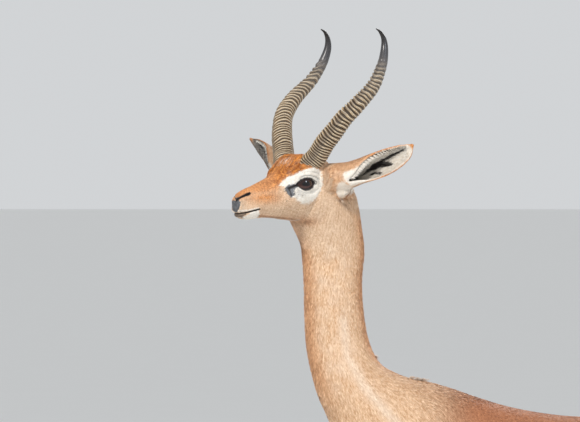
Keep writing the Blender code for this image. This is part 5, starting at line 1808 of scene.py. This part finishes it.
def coat_look(name, hair):
    """Short glossy hair in the animal's colours and the painted shade and highlights, from the marks kept on
    the mesh.
    """
    look = Look(name, Specular_IOR_Level=0.28, Sheen_Weight=0.04, Sheen_Roughness=0.4)
    saddle, rust, pale = look.parts("warm_marks")
    grey, dark, tone = look.parts("cool_marks")
    shade = tone * 0.8 + look.noise(0.0026, (1, 1, 0.45), 4.0, 0.65) - 0.4
    colour = look.mixed(shade, FAWN, FAWN_LIGHT)
    for amount, deep, light in (
        (saddle, CHESTNUT, CHESTNUT_LIGHT),
        (rust, RUST, RUST_LIGHT),
        (pale, CREAM_HAIR, WHITE_HAIR),
        (grey, SLATE, SLATE_LIGHT),
        (dark, BLACK_HAIR, BLACK_LIGHT),
    ):
        colour = look.mixed(amount, colour, look.mixed(shade, deep, light))
    look.feed("Base Color", colour)
    look.feed("Roughness", 0.60 - rust * 0.18 - grey * 0.16)
    if not hair:
        look.bump(look.noise(0.0016, (1, 1, 0.3)), 0.0006, 0.7)
    return look.material


def horn_look():
    """Ridged horn: pale crests rubbed by wear, dark grooves, and a smooth dark tip; the grooves are partly
    painted shade, the crests partly a painted highlight, and the upper rings and the tip carry a painted
    grey-blue highlight.
    """
    look = Look("horn_sheath", Specular_IOR_Level=0.5)
    relief, along, front = look.number("relief"), look.number("along"), look.number("front")
    grain = look.noise(0.0016, (1, 1, 0.4), 5.0, 0.65)
    # The darkest stops are partly painted shade in the grooves, the palest partly a painted highlight on the
    # crests
    ringed = look.node(
        "ShaderNodeValToRGB",
        {
            "stops": (
                (0.00, srgb(14, 10, 9)),
                (0.28, srgb(44, 32, 22)),
                (0.50, srgb(126, 98, 64)),
                (0.70, srgb(178, 156, 124)),
                (0.94, srgb(234, 222, 200)),
            )
        },
        {0: relief * 0.95 + grain * 0.46 - 0.24},
    )
    ringed = look.mixed(look.noise(0.012) * 0.30, ringed, srgb(112, 98, 78))
    # Greyer towards the upper rings: a painted highlight
    upper_rings_highlight = look.rise(along, 0.45, 0.80, "LINEAR")
    ringed = look.mixed(upper_rings_highlight * 0.45, ringed, srgb(120, 118, 114))
    ringed = look.mixed(front * relief * 0.55, ringed, srgb(40, 38, 48))
    # The tip's grey-blue is a painted highlight over its dark horn
    tip = look.mixed(grain * 0.7 + front * 0.2, srgb(94, 94, 98), srgb(26, 24, 26))
    tip = look.mixed(look.rise(along, 0.78, 0.96, "LINEAR"), tip, srgb(24, 20, 18))
    tipness = look.rise(along, HORN_RINGED_SHARE - 0.14, HORN_RINGED_SHARE + 0.03)
    look.feed("Base Color", look.mixed(tipness, ringed, tip))
    look.feed("Roughness", 0.42 - tipness * 0.20 + grain * 0.14)
    look.bump(look.noise(0.0009, (1, 1, 0.3), 4.0, 0.6) * (1 - tipness * 0.85), 0.0005, 0.9)
    return look.material


def eye_look():
    """A wet dark-brown eye with a long level pupil."""
    look = Look("eyeball", Specular_IOR_Level=0.4, Roughness=0.06, Coat_Weight=0.25, Coat_Roughness=0.02)
    along, up, _ = look.parts("gaze")
    radial = (along * along + up * up).root()
    pupil = (along * along * 2.2 + up * up * 9.0).root()
    shade = look.noise(0.0010) * 0.4 + look.rise(up, 0.30, -0.40) * 0.6
    iris = look.mixed(shade, srgb(20, 11, 10), srgb(70, 37, 29))
    colour = look.mixed(look.rise(pupil, 0.55, 0.80), srgb(10, 8, 11), iris)
    look.feed("Base Color", look.mixed(look.rise(radial, 0.62, 0.90), colour, srgb(14, 9, 8)))
    return look.material


def lid_look():
    """Bare black skin, finely creased and a little wet."""
    look = Look("lid_rim", Specular_IOR_Level=0.5)
    creases = look.noise(0.0009)
    look.feed("Base Color", look.mixed(creases, srgb(14, 11, 11), srgb(44, 36, 34)))
    look.feed("Roughness", 0.32 + creases * 0.2)
    look.bump(creases, 0.0002, 0.6)
    return look.material


def hoof_look():
    """Dark hoof horn with growth lines round it and scuffs."""
    look = Look("hoof", Specular_IOR_Level=0.4)
    lines = look.noise(0.0022, (0.15, 0.15, 1))
    scuffs = look.noise(0.006, (1, 1, 0.5), 4.0)
    colour = look.mixed(lines, srgb(26, 23, 22), srgb(66, 58, 52))
    look.feed("Base Color", look.mixed(scuffs * 0.45, colour, srgb(98, 88, 76)))
    look.feed("Roughness", 0.38 + scuffs * 0.30)
    look.bump(lines, 0.0005, 0.8)
    return look.material


def brush_look():
    """Long coarse black hair."""
    look = Look("tail_hair", Specular_IOR_Level=0.4)
    strands = look.noise(0.002, (1, 1, 0.05))
    look.feed("Base Color", look.mixed(strands, srgb(16, 13, 12), srgb(48, 40, 36)))
    look.feed("Roughness", 0.42 + strands * 0.2)
    return look.material


# From the modelling place to the frame, by the middle of the left eye
eye_low, eye_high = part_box("eye_left")
SHIFT = (np.array(eye_low) + np.array(eye_high)) / 2 - from_head(mirrored(EYE_CENTRE, LEFT))


# The stage

def studio():
    """Camera, floor and light."""
    focus = Vector(SHIFT) + Vector(VIEW_FOCUS)
    camera = bpy.data.cameras.new("camera")
    camera.sensor_width = 36
    camera.lens = VIEW_LENS
    camera.clip_end = 400
    eye = placed("camera", camera)
    eye.location = focus + Vector((0, -math.cos(VIEW_TILT), math.sin(VIEW_TILT))) * VIEW_DISTANCE
    eye.rotation_euler = (math.radians(90) - VIEW_TILT, 0, 0)
    bpy.context.scene.camera = eye

    reach = FLOOR_REACH
    corners = np.array([(-reach, -reach, 0), (reach, -reach, 0), (reach, reach, 0), (-reach, reach, 0)])
    floor = mesh_object("floor", [(corners, [[0, 1, 2, 3]])])
    look = Look("floor", Roughness=0.9, Specular_IOR_Level=0.1)
    grain = look.noise(0.4, detail=2.0) * 0.4
    look.feed("Base Color", look.mixed(grain, (0.86, 0.86, 0.85, 1), (0.82, 0.82, 0.81, 1)))
    floor.data.materials.append(look.material)

    world = bpy.data.worlds.new("world")
    bpy.context.scene.world = world
    world.use_nodes = True
    sky = world.node_tree.nodes["Background"].inputs
    sky["Color"].default_value = (0.86, 0.88, 0.90, 1)
    sky["Strength"].default_value = 0.745
    for name, place, energy, size, colour in LAMPS:
        light = bpy.data.lights.new(name, "AREA")
        light.energy, light.size, light.color = energy, size, colour
        light.shape = "DISK"
        lamp = placed(name, light)
        lamp.location = Vector(place) + Vector((SHIFT[0], SHIFT[1], 0))
        lamp.rotation_euler = (Vector(LAMP_AIM) - Vector(place)).to_track_quat("-Z", "Y").to_euler()
    bpy.context.scene.view_settings.view_transform = "Standard"


def finish(piece, look, slot, *nodes):
    """Moves the piece onto the frame, gives it its look, hangs it under the root, and hides the nodes of the
    frame that it replaces.
    """
    piece.data.transform(Matrix.Translation(SHIFT))
    piece.data.materials.clear()
    piece.data.materials.append(look)
    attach(piece, "root")
    if nodes:
        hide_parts(*nodes)


BARE_NODES = ("eye_", "horn_", "hoof_", "tail_tuft")
FLESH = [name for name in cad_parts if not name.startswith(BARE_NODES)]


def main():
    studio()
    bodies = [trunk(), nape(), skull(), *legs(), tail(), *(ear(side) for side in SIDES)]
    bodies += [ear_bulb(sign) for sign in SIDES.values()]
    skin = sculpted(refined(melted(bodies)))
    skin.data.shade_smooth()
    read = Skin(skin)
    warm, cool = markings(read.points, read.normals)
    store_markings(skin.data, warm, cool, 0.5 + 0.2 * mottle(read.points, 0.012))
    finish(skin, coat_look("skin", False), "coat", *FLESH)
    fur = coat_look("hair", True)
    for piece in [*short_coat(read), long_hair(read), ear_fringe()]:
        finish(piece, fur, "coat")
    sheath, ball, lid, nail = horn_look(), eye_look(), lid_look(), hoof_look()
    for side, sign in SIDES.items():
        finish(horn(side), sheath, "horn", f"horn_{side}")
        finish(eyeball(side), ball, "eye", f"eye_{side}")
        finish(lid_rim(side), lid, "dark_hair")
        for foot, x in (("fore", FORE_STEP[side]), ("hind", HIND_FOOT_X + HIND_STEP[side])):
            for where, toe_side in (("outer", sign), ("inner", -sign)):
                name = f"{foot}_{side}_{where}"
                finish(claw(f"claw_{name}", x, sign * TRACK, toe_side), nail, "hoof", f"hoof_{name}")
    finish(tail_brush(), brush_look(), "dark_hair", "tail_tuft")


main()
